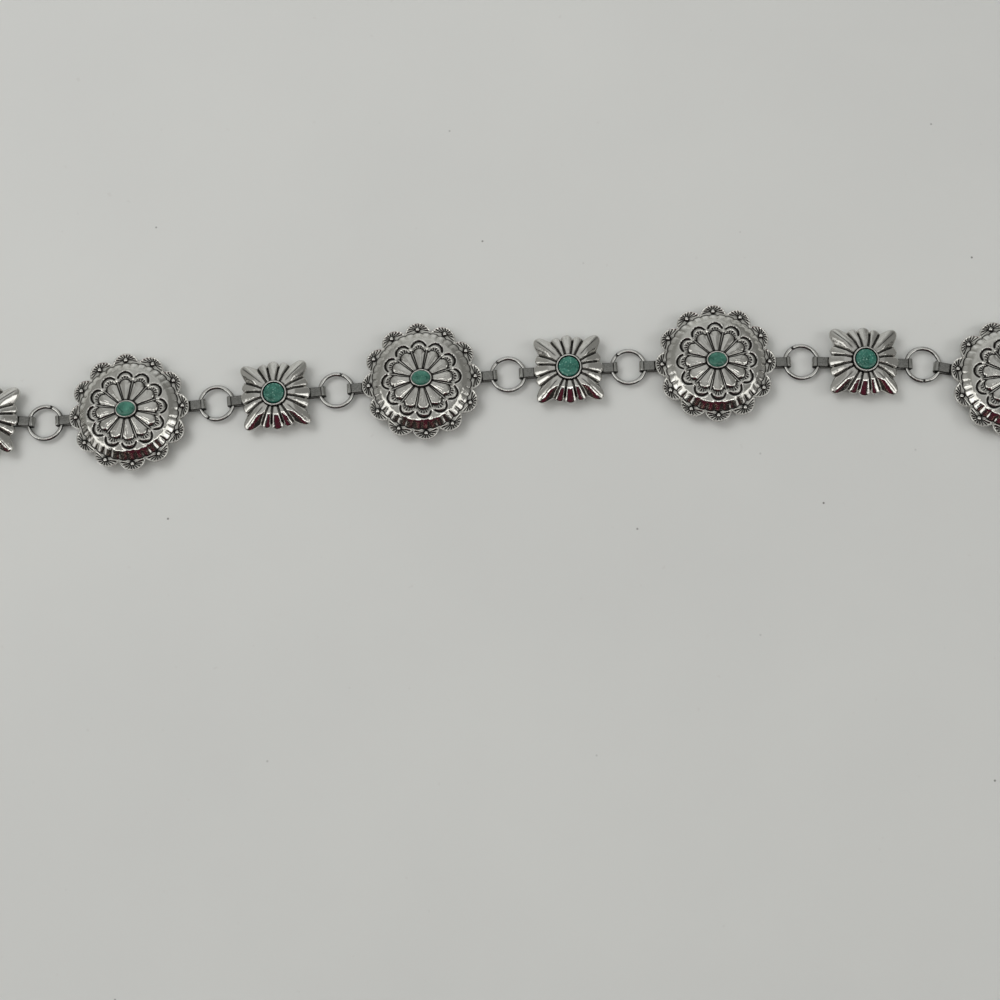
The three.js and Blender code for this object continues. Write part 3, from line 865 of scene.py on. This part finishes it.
# %% Outline of a scallop
SCALLOP_CENTRE = 18.0
SCALLOP_RADIUS = CONCHO_RADIUS - SCALLOP_CENTRE
FLANGE_START = 18.5  # the scallops begin under the dome's wall
DOT_RADIUS = 20.75  # from the middle of the plate to a rim dot


def scalloped_edge(angle):
    """Outline: arcs of SCALLOP_RADIUS centred SCALLOP_CENTRE out, one round each dot."""
    _, _, offset = from_petal(1.0, angle)
    across = SCALLOP_CENTRE * np.sin(offset)
    return SCALLOP_CENTRE * np.cos(offset) + np.sqrt(SCALLOP_RADIUS**2 - across**2)


def scallop_reach(bearing):
    """Distance from a scallop's dot to the scallop's edge, at a bearing from the petal's axis.

    Ahead it is a circle of SCALLOP_RADIUS, to the sides the line between two sectors, and behind
    the circle of FLANGE_START.
    """
    offset = DOT_RADIUS - SCALLOP_CENTRE
    turn_back = np.pi - np.abs(np.pi - bearing % (2 * np.pi))
    rest = np.sqrt(SCALLOP_RADIUS**2 - (offset * np.sin(turn_back)) ** 2)
    ahead = rest - offset * np.cos(turn_back)
    beside = DOT_RADIUS * np.sin(HALF_PITCH) / np.sin(np.maximum(turn_back - HALF_PITCH, 0.01))
    sweep = np.clip((DOT_RADIUS * np.cos(turn_back)) ** 2 - DOT_RADIUS**2 + FLANGE_START**2, 0, None)
    behind = -DOT_RADIUS * np.cos(turn_back) - np.sqrt(sweep)
    back_side = np.where(turn_back <= INNER_BEARING, beside, behind)
    return np.where(turn_back <= CUSP_BEARING, ahead, back_side)


def bearing_of(radius):
    """Bearing from the dot to the point at this radius on the line between two sectors."""
    return np.arctan2(radius * np.sin(HALF_PITCH), radius * np.cos(HALF_PITCH) - DOT_RADIUS)


CUSP_BEARING = bearing_of(scalloped_edge(HALF_PITCH))
INNER_BEARING = bearing_of(FLANGE_START)
print("cusps at", round(float(np.degrees(CUSP_BEARING))), "degrees from the dot's axis")

# %% A scallop
DOT_SIZE = 0.7
DOT_RISE = 0.4
FAN_LINES = 10
FAN_PITCH = np.radians(16.2)  # between the ends of two lines, seen from the scallop's own centre
FAN_LINE_HALF = np.array([0.2, 0.31])  # half width of a line, by the dot and at its other end
FAN_LINE_DEPTH = 0.2
FAN_ROWS = 8
LIP_WIDTH = 0.44


def fan_bearings():
    """Bearings of the columns over the open side, and how far each is from the nearest line.

    The columns are spaced by their angle at the scallop's own centre, where the lines' ends are
    FAN_PITCH apart, and they gather at the lines. The distance is in shares of the pitch.
    """
    steps = np.array([-0.5, -0.3, -0.2, -0.1, 0.1, 0.2, 0.3])
    line = np.arange(FAN_LINES)[:, None] - (FAN_LINES - 1) / 2
    at_centre = ((line + steps) * FAN_PITCH).ravel()
    ahead = SCALLOP_RADIUS * np.cos(at_centre) - (DOT_RADIUS - SCALLOP_CENTRE)
    bearing = np.arctan2(SCALLOP_RADIUS * np.sin(at_centre), ahead)
    off_line = np.tile(np.abs(steps), FAN_LINES)
    kept = np.abs(bearing) < CUSP_BEARING
    return bearing[kept], off_line[kept]


def scallop_skin():
    """A closed tablet round the dot: domed dot, fan of lines, plain lip, edge and flat back."""
    open_bearing, open_off = fan_bearings()
    closed = np.concatenate(
        [
            np.linspace(CUSP_BEARING, INNER_BEARING, 2, endpoint=False),
            np.linspace(INNER_BEARING, 2 * np.pi - INNER_BEARING, 8, endpoint=False),
            np.linspace(2 * np.pi - INNER_BEARING, 2 * np.pi - CUSP_BEARING, 3),
        ]
    )
    bearing = np.concatenate([open_bearing, closed])
    off_line = np.concatenate([open_off, closed * 0 + 0.5])
    open_side = np.concatenate([open_bearing * 0 + 1, closed * 0])
    reach = scallop_reach(bearing)
    face = FLANGE - 0.08
    rows = []

    def add(out, height, oxide):
        rows.append(polar_points(out, bearing, height + PLATE_LEVEL, oxide, DOT_RADIUS))

    for share, oxide in [(0.35, -0.7), (0.75, -0.5), (1.0, 0.3)]:
        add(DOT_SIZE * share, face + DOT_RISE * np.sqrt(1 - 0.9 * share**2), oxide)
    add(DOT_SIZE + 0.08, face - 0.1, 0.9)
    start = DOT_SIZE + 0.16
    for share in np.linspace(0, 1, FAN_ROWS):
        out = start + share * (reach - LIP_WIDTH - start)
        aside = off_line * FAN_PITCH * SCALLOP_RADIUS * out / reach
        half_line = FAN_LINE_HALF[0] + share * (FAN_LINE_HALF[1] - FAN_LINE_HALF[0])
        line = (1 - smooth_step(half_line - 0.08, half_line + 0.08, aside)) * open_side
        line = line * (1 - smooth_step(0.95, 1.0, share))
        halo = np.where(open_side > 0, 1 - smooth_step(0, 0.1, share), 1 - smooth_step(0.9, 1.7, out))
        between = 0.35 * smooth_step(0.1, 0.3, share)
        # Darker on the closed side within about 2.6 mm of the dot, towards the dome's foot
        closed_side_dark = 0.4 * (1 - smooth_step(1.5, 2.6, out))
        dark = np.clip(1.4 * np.maximum(line, halo), 0, 1)
        plain = np.where(open_side > 0, -between, closed_side_dark)
        add(out, face - FAN_LINE_DEPTH * line, np.where(dark > 0, dark, plain))
    # The lip is rubbed lighter along the rim: partly a painted highlight
    for inside, rise, burnish_and_sheen in [(0.32, 0.12, 0.4), (0.14, 0.1, 0.6), (0.0, -0.08, 0.3)]:
        add(reach - inside, face + rise * open_side, -burnish_and_sheen * open_side)
    add(reach, 0.1, 0.1)
    add(reach - 0.08, 0.0, 0.2)
    return skin(np.array(rows))


def rotated(shape, angle):
    """A shape turned about the plate's axis."""
    return {**shape, "points": turned(shape["points"], angle, (0, 0))}


scallop = scallop_skin()
scallops = [rotated(scallop, 2 * HALF_PITCH * i) for i in range(SECTORS)]
print("scallop:", len(scallop["quads"]), "quads, twelve times")

# %% The whole concho
face_skin = joined([skin(dome_points), *scallops])
concho_shape = joined([face_skin, strap_loop(CONCHO_RADIUS, 1), strap_loop(CONCHO_RADIUS, -1)])
print("concho:", 2 * len(concho_shape["quads"]) + len(concho_shape["triangles"]), "triangles")

# %% [markdown]
# ## The butterfly
#
# The butterfly plate has sixteen lobes: a long one to each corner and three shorter ones on each
# side. The lobes are parted by blackened bars with round ends. Each lobe runs nearly level out of
# the bezel, turns down at a knee and ends in a round tip, and the corner lobes have a ridge. The
# plate could be cut from a flat outline and bent, but one height over a polar grid gives the outline,
# the bars and the bend together. The columns go lobe by lobe, and the outline and the bars come from
# one table with a row for each lobe of a quarter.

# %% Lobes of the butterfly
BUTTERFLY_REACH = 13.2
BUTTERFLY_HEIGHT = 4.1
LOBE_EDGE = 1.2  # height of the plate's face at the tips
LOBE_KNEE = 0.36  # share of the way from the bezel to the tip
KNEE_SOFTNESS = 0.035  # as a share of the same way
LEVEL_FALL = 0.12  # share of the fall that is spread evenly over the whole way
BAR_START = 5.0
BAR_END = 11.4  # between the lobes of a side
CORNER_BAR_END = 12.6  # beside a corner lobe
BAR_HALF = 0.42
BAR_DEPTH = 0.6
RIDGE_CREASE_DEPTH = 0.12
LOBE_COLUMNS = 24
GATHER = 0.16  # how much the columns gather at the gaps between lobes
# Middle and half width in degrees, tip in shares of the reach, ridge in millimetres
QUARTER = [
    {"centre": 0, "half": 11.5, "tip": 1.02, "ridge": 0.0},
    {"centre": 20, "half": 8.5, "tip": 1.02, "ridge": 0.0},
    {"centre": 45, "half": 16.5, "tip": 1.325, "ridge": 0.36},
    {"centre": 70, "half": 8.5, "tip": 1.02, "ridge": 0.0},
    {"centre": 90, "half": 11.5, "tip": 1.03, "ridge": 0.0},
]


def all_lobes():
    """The quarter's lobes mirrored all the way round, in order of their angle."""
    lobes = {}
    for row in QUARTER:
        for centre in (row["centre"], 180 - row["centre"], 180 + row["centre"], -row["centre"]):
            lobes[centre % 360] = {**row, "centre": centre % 360}
    return [lobes[centre] for centre in sorted(lobes)]


LOBES = all_lobes()
even_share = np.tile(-1 + 2 * np.arange(LOBE_COLUMNS) / LOBE_COLUMNS, len(LOBES))
lobe_share = even_share + GATHER * np.sin(np.pi * even_share)  # from -1 to 1 across each lobe


def per_column(key):
    """A value of each column's lobe."""
    return np.repeat([row[key] for row in LOBES], LOBE_COLUMNS).astype(float)


def per_nearest_gap(key):
    """The greater value of a column's lobe and of the lobe across the nearest gap."""
    own = np.array([row[key] for row in LOBES])
    before, after = np.roll(own, 1), np.roll(own, -1)
    across = np.where(lobe_share < 0, np.repeat(before, LOBE_COLUMNS), np.repeat(after, LOBE_COLUMNS))
    return np.maximum(per_column(key), across)


lobe_half = np.radians(per_column("half"))
lobe_angle = np.radians(per_column("centre")) + lobe_half * lobe_share
lobe_tip = per_column("tip") * BUTTERFLY_REACH
lobe_ridge = per_column("ridge")
by_corner = per_nearest_gap("ridge") > 0
print("butterfly:", len(LOBES), "lobes and", len(lobe_angle), "columns")

# %% The butterfly's rows
ROUND_OUTSIDE = 4.92
ROUND_WALL = 0.62
ROUND_HEIGHT = 1.1
MILLING = 52  # notches round the bezel
LOBE_ROWS = 21


def lobe_edge():
    """Outline: round ends on the lobes, falling to a notch just past the end of each bar.

    An end is half an ellipse over the angle. A corner lobe narrows to a slim round finger, as 1 less
    a power of the share from its axis, the whole to another power.
    """
    notch = np.where(by_corner, CORNER_BAR_END, BAR_END) + 0.15
    finger = (1 - np.abs(lobe_share) ** 2.3) ** 1.9
    rounded = np.where(lobe_ridge > 0, finger, np.sqrt(1 - lobe_share**2))
    return notch + (lobe_tip - notch) * rounded


def butterfly_front(radius, edge):
    """Height and blackening of the lobes at a distance from the middle.

    The face is nearly level up to the knee and then falls at a steady slope. A bar is sunk along
    each line between two lobes, as far as BAR_HALF from a segment of that line, and the face folds
    down towards it. A corner lobe has a ridge with a fine crease along it.
    """
    way = np.clip((radius - ROUND_OUTSIDE) / (edge - ROUND_OUTSIDE), 0, 1)
    past_knee = (way - LOBE_KNEE) / KNEE_SOFTNESS
    bend = KNEE_SOFTNESS * np.log1p(np.exp(past_knee)) / (1 - LOBE_KNEE)
    fall = LEVEL_FALL * way + (1 - LEVEL_FALL) * bend
    face = BUTTERFLY_HEIGHT - (BUTTERFLY_HEIGHT - LOBE_EDGE) * fall
    beside = radius * np.sin(lobe_half * (1 - np.abs(lobe_share)))
    bar_end = np.where(by_corner, CORNER_BAR_END, BAR_END)
    past = np.maximum(0, np.maximum(BAR_START - radius, radius - bar_end))
    off_bar = np.hypot(beside, past)
    bar = 1 - smooth_step(BAR_HALF - 0.1, BAR_HALF + 0.08, off_bar)
    fold = 0.05 * bump(off_bar - BAR_HALF, 0.24)
    from_axis = radius * np.sin(lobe_half * np.abs(lobe_share))
    ridge = lobe_ridge * (1 - np.abs(lobe_share)) * smooth_step(0.15, 0.5, way) * (1 - way**6)
    crease = (lobe_ridge > 0) * bump(from_axis, 0.22)
    crease = crease * smooth_step(0.1, 0.2, way) * (1 - way**12)
    height = face - BAR_DEPTH * bar - fold + ridge - RIDGE_CREASE_DEPTH * crease
    return height, np.maximum(0.72 * bar, 0.85 * crease)


def butterfly_rows():
    """Rows from the stone's seat over the milled bezel, out to the tips, and the hollow back."""
    rows = []

    def add(radius, height, oxide=0.0):
        rows.append(polar_points(radius, lobe_angle, height, oxide))

    inner = ROUND_OUTSIDE - ROUND_WALL
    lip = BUTTERFLY_HEIGHT + ROUND_HEIGHT
    milled = 0.5 + 0.5 * np.cos(lobe_angle * MILLING)
    add(inner, BUTTERFLY_HEIGHT, 1.0)
    add(inner, lip - 0.22, 1.0)
    add(inner + 0.05, lip - 0.02, 0.3)
    # The bezel's flat top is rubbed lighter: partly a painted highlight on it
    add(inner + 0.12, lip, -0.7)
    add(inner + 0.3, lip, -0.7)
    add(inner + 0.42, lip - 0.05 + 0.04 * milled, 0.4 - 1.2 * milled)
    add(inner + 0.54, lip - 0.2 + 0.12 * milled, 0.8 - 1.4 * milled)
    add(ROUND_OUTSIDE, lip - 0.45 + 0.08 * milled, 0.9 * (1 - milled))
    add(ROUND_OUTSIDE + 0.02, BUTTERFLY_HEIGHT + 0.15, 1.0)
    add(ROUND_OUTSIDE + 0.1, BUTTERFLY_HEIGHT - 0.12, 1.0)
    edge = lobe_edge()
    start = ROUND_OUTSIDE + 0.22
    for share in np.linspace(0, 1, LOBE_ROWS):
        radius = start + share * (edge - 0.1 - start)
        height, dark = butterfly_front(radius, edge)
        dark = np.maximum(dark, 1 - smooth_step(0, 0.035, share))
        add(radius, height, dark - 0.25 * (1 - smooth_step(0.0, 0.2, dark)))
    add(edge, LOBE_EDGE - 0.24, -0.5)
    add(edge, 0.12)
    add(edge - 0.08, 0.0)
    add(np.minimum(edge - 0.5, 11.0), 0.0, 0.2)
    for radius, height in [(10.4, 0.6), (8.0, 1.7), (5.0, 2.5), (1.5, 2.8)]:
        add(radius, height, BACK_OXIDE)
    return np.array(rows) + [0, 0, PLATE_LEVEL, 0]


butterfly_skin = skin(butterfly_rows())
straps = [strap_loop(BUTTERFLY_REACH, 1), strap_loop(BUTTERFLY_REACH, -1)]
butterfly_shape = joined([butterfly_skin, *straps])
faces = 2 * len(butterfly_shape["quads"]) + len(butterfly_shape["triangles"])
print("butterfly:", faces, "triangles")

# %% Lay the plates along the belt
SHAPES = {"concho": concho_shape, "butterfly": butterfly_shape}
for plate in plates:
    piece = make_piece(
        f"{plate['kind']}_plate_{plate['number']}",
        SHAPES[plate["kind"]],
        plate["heading"],
        plate["centre"],
        [plate_silver, strap_metal],
        plate["node"],
    )
print("plates laid:", len(plates))

# %% [markdown]
# ## Cabochons
#
# A cabochon is a polished dome with an upright girdle. A flattened ball would do for its top, but
# a profile run round the outline gives dome and girdle at once: a quarter of an ellipse, run round
# an oval or a circle. The oval stone fills its bezel to within a hair, and round the other a thin
# black gap shows.

# %% Stones
STONE_COLUMNS = 64
STONE_GAP = 0.06
ROUND_STONE_GAP = 0.4  # wide enough to show as a black line


def cabochon(half_length, half_width, seat, girdle, crown):
    """A girdle on the seat and a dome over it, up to crown: radius cos, height sin of one angle."""
    lip, top = seat + girdle, seat + crown
    angle = np.linspace(0, 2 * np.pi, STONE_COLUMNS, endpoint=False)
    rise = np.radians([88, 80, 70, 60, 50, 40, 30, 20, 10, 0])
    shares = np.append(np.cos(rise), [1.0, 0.97])
    heights = np.append(lip + (top - lip) * np.sin(rise), [seat + 0.05, seat])
    radius = np.outer(shares, ellipse_radius(angle, (half_length, half_width)))
    return skin(polar_points(radius, angle, heights[:, None]))


oval_half = BEZEL_OUTSIDE - BEZEL_WALL - STONE_GAP
oval_seat = PLATE_LEVEL + DOME_HEIGHT + STONE_GAP
oval_shape = cabochon(*oval_half, oval_seat, girdle=0.6, crown=1.5)
round_half = ROUND_OUTSIDE - ROUND_WALL - ROUND_STONE_GAP
round_seat = PLATE_LEVEL + BUTTERFLY_HEIGHT + STONE_GAP
round_shape = cabochon(round_half, round_half, round_seat, girdle=0.8, crown=1.6)
for plate in plates:
    oval = plate["kind"] == "concho"
    piece = make_piece(
        f"{plate['kind']}_cabochon_{plate['number']}",
        oval_shape if oval else round_shape,
        plate["heading"],
        plate["centre"],
        [oval_turquoise if oval else round_turquoise],
        f"{plate['kind']}_stone_{plate['number']}",
    )
print("stones set:", len(plates))

# %% [markdown]
# ## Split rings
#
# A ring is round wire bent into a circle until its ends meet, and the joint shows as a dark line.
# A torus has no joint, so the wire's circle is carried along the ring from one face of the joint
# to the other, and its ends are fanned shut. The place of the joint is read from the frame's ring:
# its split is the narrowest step between the directions of its points that isn't just rounding.

# %% Rings
RING_RADIUS = 6.45  # of the wire's middle line
RING_WIRE = 1.5
RING_LEVEL = 1.65  # of that line above the table
RING_SPLIT = 0.25  # between the wire's ends
RING_STEPS = 67
WIRE_SIDES = 14
END_SHARE = 0.93  # of the wire's thickness at its eased ends
SAME_ANGLE = 0.02  # radians, up to which two points of the frame's ring count as one direction


def split_direction(node, centre):
    """Angle of a frame ring's split: the middle of the narrowest step in its points' angles.

    The solid has few sides, so the step across its split is smaller than those between its sides.
    """
    points = np.array([v.co[:2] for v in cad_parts[node].data.vertices]) / MM - centre[:2]
    faces = points[np.hypot(points[:, 0], points[:, 1]) > RING_RADIUS * 0.8]
    angles = np.unique(np.arctan2(faces[:, 1], faces[:, 0]).round(3))
    steps = np.diff(np.append(angles, angles[0] + 2 * np.pi))
    split = np.argmin(np.where(steps > SAME_ANGLE, steps, np.inf))
    return angles[split] + steps[split] / 2


def ring_shape():
    """Wire of circular section along a circle that stops short of closing by RING_SPLIT.

    Its flanks and underside are darkened as painted shade, and its top is rubbed bright, partly a
    painted highlight.
    """
    half_gap = RING_SPLIT / RING_RADIUS / 2
    turn_angle = np.linspace(half_gap, 2 * np.pi - half_gap, RING_STEPS)
    around = np.linspace(0, 2 * np.pi, WIRE_SIDES, endpoint=False)
    wire = np.full((RING_STEPS, 1), RING_WIRE / 2)
    wire[[0, -1]] *= END_SHARE
    upward = np.sin(around)
    # Painted shade on the wire's flanks and underside
    underside_shade = 0.95 * (1 - smooth_step(0.4, 0.8, upward))
    out = RING_RADIUS + wire * np.cos(around)
    oxide = underside_shade - 0.5 * smooth_step(0.85, 1, upward)
    rows = polar_points(out, turn_angle[:, None], RING_LEVEL + wire * upward, oxide)
    rows[[0, -1], :, 3] = 1.0
    return skin(rows)


ring_skin = ring_shape()
for i, centre in enumerate(ring_middles):
    node = f"ring_{i + 1}"
    piece = make_piece(
        f"split_ring_{i + 1}", ring_skin, split_direction(node, centre), centre, [ring_metal], node
    )
print("rings:", len(ring_middles), "of", 2 * len(ring_skin["quads"]), "triangles")

# %% [markdown]
# ## The hook
#
# The clasp lies outside the picture, so it is the plainest kind: a flat strip with a loop for its
# ring at one end and a U bend at the other. The frame's solid has that shape already, so it stays
# and only gets the metal of the rings.

# %% Hook
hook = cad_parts["hook"]
for slot in hook.material_slots:
    slot.material = ring_metal

# %% [markdown]
# ## The table
#
# The belt lies on a pale, matt board with faint marks and sparse dust. One flat face does for it,
# and the dust is in its material, because it is too fine to be modelled. The board is a stage piece
# and no part of the object.

# %% Table
TABLE_HALF = 3.0  # metres
TABLE_LEVEL = -0.0002  # a hair below the belt
PALE_GREYS = ((0.68, 0.687, 0.671, 1), (0.708, 0.716, 0.697, 1))
MARK_GREY = (0.6, 0.59, 0.57, 1)
DUST_GREY = (0.08, 0.075, 0.07, 1)
DUST_CELLS = 16  # a metre


def make_table_material():
    """Pale grey board: faint clouds of warmer and cooler grey, tiny marks and sparse dark dust.

    A grain of dust is a disc round each feature point of a Voronoi texture, and the random colour of
    the point's cell sets how dark it is.
    """
    material, tree, surface, place = new_material("table")
    clouds = ramp(tree, noise(tree, place, scale=6), 0.35, 0.65)
    marks = ramp(tree, noise(tree, place, scale=260, detail=2, roughness=0.4), 0.74, 0.8)
    base = mix_colour(tree, clouds, *PALE_GREYS)
    marked = mix_colour(tree, product(tree, marks, 0.35), base, MARK_GREY)
    cells = tree.nodes.new("ShaderNodeTexVoronoi")
    cells.voronoi_dimensions = "2D"
    cells.inputs["Scale"].default_value = DUST_CELLS
    link(tree, place, cells.inputs["Vector"])
    grain = ramp(tree, cells.outputs["Distance"], 0.0085, 0.004)
    strength = tree.nodes.new("ShaderNodeSeparateColor")
    link(tree, cells.outputs["Color"], strength.inputs[0])
    faint = ramp(tree, strength.outputs[0], 0.45, 1.1)
    dusty = mix_colour(tree, product(tree, grain, faint), marked, DUST_GREY)
    link(tree, dusty, surface.inputs["Base Color"])
    surface.inputs["Roughness"].default_value = 0.6
    return material


table_mesh = bpy.data.meshes.new("table")
corners = [
    (x * TABLE_HALF, y * TABLE_HALF, TABLE_LEVEL) for x, y in ((-1, -1), (1, -1), (1, 1), (-1, 1))
]
table_mesh.from_pydata(corners, [], [(0, 1, 2, 3)])
table_mesh.materials.append(make_table_material())
table = bpy.data.objects.new("table", table_mesh)
bpy.context.collection.objects.link(table)
table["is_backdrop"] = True
print("table:", tuple(table.dimensions))

# %% [markdown]
# ## Light
#
# Polished metal shows its surroundings, so the room matters more than the lamps. A photograph of a
# room could light it, but then every tone would be a matter of luck. What a slope mirrors depends
# on how far it leans towards the near side and how far to a side, so the room is painted in bands
# by these two angles:
#
# - a soft grey sky from the far side to overhead, darker to the sides and most to the right
# - a narrow bright strip, as of a lit edge, and beyond it the dark near side
# - a dark red patch in the near side, with a few small warm glints further down
# - a bright window to the left and one to the right, and below them a paler patch of wall
#
# Slopes that face the near side turn almost black, with a white line where they begin, the slopes
# beside them catch the windows, and the far slopes stay pale. One large lamp from the upper left
# gives the soft shadows, and a small one from the right fills them.

# %% Room


def lean_angles(tree, direction):
    """Angles of a direction in degrees: how far it leans to the near side, and to the right."""
    parts = tree.nodes.new("ShaderNodeSeparateXYZ")
    link(tree, direction, parts.inputs[0])
    near = product(tree, parts.outputs["Y"], -1.0)
    lean = math_node(tree, "DEGREES", math_node(tree, "ARCTAN2", near, parts.outputs["Z"]))
    return lean, math_node(tree, "DEGREES", math_node(tree, "ARCSINE", parts.outputs["X"]))


def strip(tree, angle, start, full, end, none):
    """1 from full to end, 0 before start and after none, all in degrees."""
    return product(tree, ramp(tree, angle, start, full), ramp(tree, angle, none, end))


world = bpy.data.worlds.new("room")
bpy.context.scene.world = world
world.use_nodes = True
tree = world.node_tree
direction = tree.nodes.new("ShaderNodeTexCoord").outputs["Generated"]
lean, rightward = lean_angles(tree, direction)
aside = math_node(tree, "ABSOLUTE", rightward)
wisps = ramp(tree, noise(tree, direction, scale=3.0), 0.35, 0.65)
room = mix_colour(tree, wisps, (0.44, 0.45, 0.44, 1), (0.76, 0.77, 0.75, 1))

near_red = product(tree, strip(tree, lean, 29, 35, 44, 52), ramp(tree, aside, 28, 16))
low_red = product(tree, strip(tree, lean, 40, 46, 58, 68), ramp(tree, aside, 18, 8))
spots = ramp(tree, noise(tree, direction, scale=13.0, detail=2, roughness=0.4), 0.66, 0.7)
bands = {
    "overhead": (ramp(tree, lean, -70, 10), (0.46, 0.46, 0.45, 1)),
    "both sides": (ramp(tree, aside, 12, 36), (0.33, 0.33, 0.315, 1)),
    "right side": (ramp(tree, rightward, 10, 30), (0.24, 0.24, 0.23, 1)),
    "near side": (ramp(tree, lean, 23, 28), (0.022, 0.02, 0.019, 1)),
    "red patch": (math_node(tree, "MAXIMUM", near_red, low_red), (0.078, 0.011, 0.023, 1)),
    "glints": (product(tree, spots, strip(tree, lean, 46, 52, 76, 80)), (0.8, 0.66, 0.5, 1)),
    "pale wall": (
        product(tree, strip(tree, aside, 46, 52, 64, 72), strip(tree, lean, 36, 44, 74, 80)),
        (0.8, 0.79, 0.77, 1),
    ),
    "windows": (
        product(tree, strip(tree, aside, 32, 38, 54, 62), strip(tree, lean, -8, 4, 40, 52)),
        (1.5, 1.5, 1.46, 1),
    ),
    "bright strip": (
        product(tree, strip(tree, lean, 15, 18, 23, 26), strip(tree, aside, 0.5, 4, 30, 40)),
        (2.6, 2.6, 2.5, 1),
    ),
}
for mask, colour in bands.values():
    room = mix_colour(tree, mask, room, colour)
background = tree.nodes["Background"]
link(tree, room, background.inputs["Color"])
background.inputs["Strength"].default_value = 1.0
print("painted over the far sky:", ", ".join(bands))

# %% Lamps


def lamp(name, place, target, size, power):
    """A square area lamp at a place in metres, aimed at a target.

    The metal doesn't mirror it, because the room's bands hold all the highlights.
    """
    data = bpy.data.lights.new(name, "AREA")
    data.shape = "SQUARE"
    data.size = size
    data.energy = power
    light = bpy.data.objects.new(name, data)
    facing = (target - place).to_track_quat("-Z", "Y").to_matrix().to_4x4()
    light.matrix_world = Matrix.Translation(place) @ facing
    light.visible_glossy = False
    bpy.context.collection.objects.link(light)
    return light


target = Vector((aim[0] * MM, aim[1] * MM, 0))
key_lamp = lamp("key_lamp", target + Vector((-0.75, 0.55, 1.1)), target, size=0.7, power=6.2)
side_lamp = lamp("side_lamp", target + Vector((1.1, 0.1, 0.7)), target, size=0.25, power=1.2)
bpy.context.scene.view_settings.view_transform = "Standard"
print("lamps:", key_lamp.name, side_lamp.name)

# %% [markdown]
# ## Compare the size with the plain belt
#
# The dressed belt's box is held against the plain one's, and each corner's move is printed. The
# dressed belt has to have the plain one's box: it may pass it by a fraction of a millimetre, as
# one strap's side does here.

# %% Finish
bpy.context.view_layer.update()
low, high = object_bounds()
for name, plain, dressed in (("low", cad_low, low), ("high", cad_high, high)):
    print(name, "corner moves by", [round((b - a) / MM, 3) for a, b in zip(plain, dressed)], "mm")
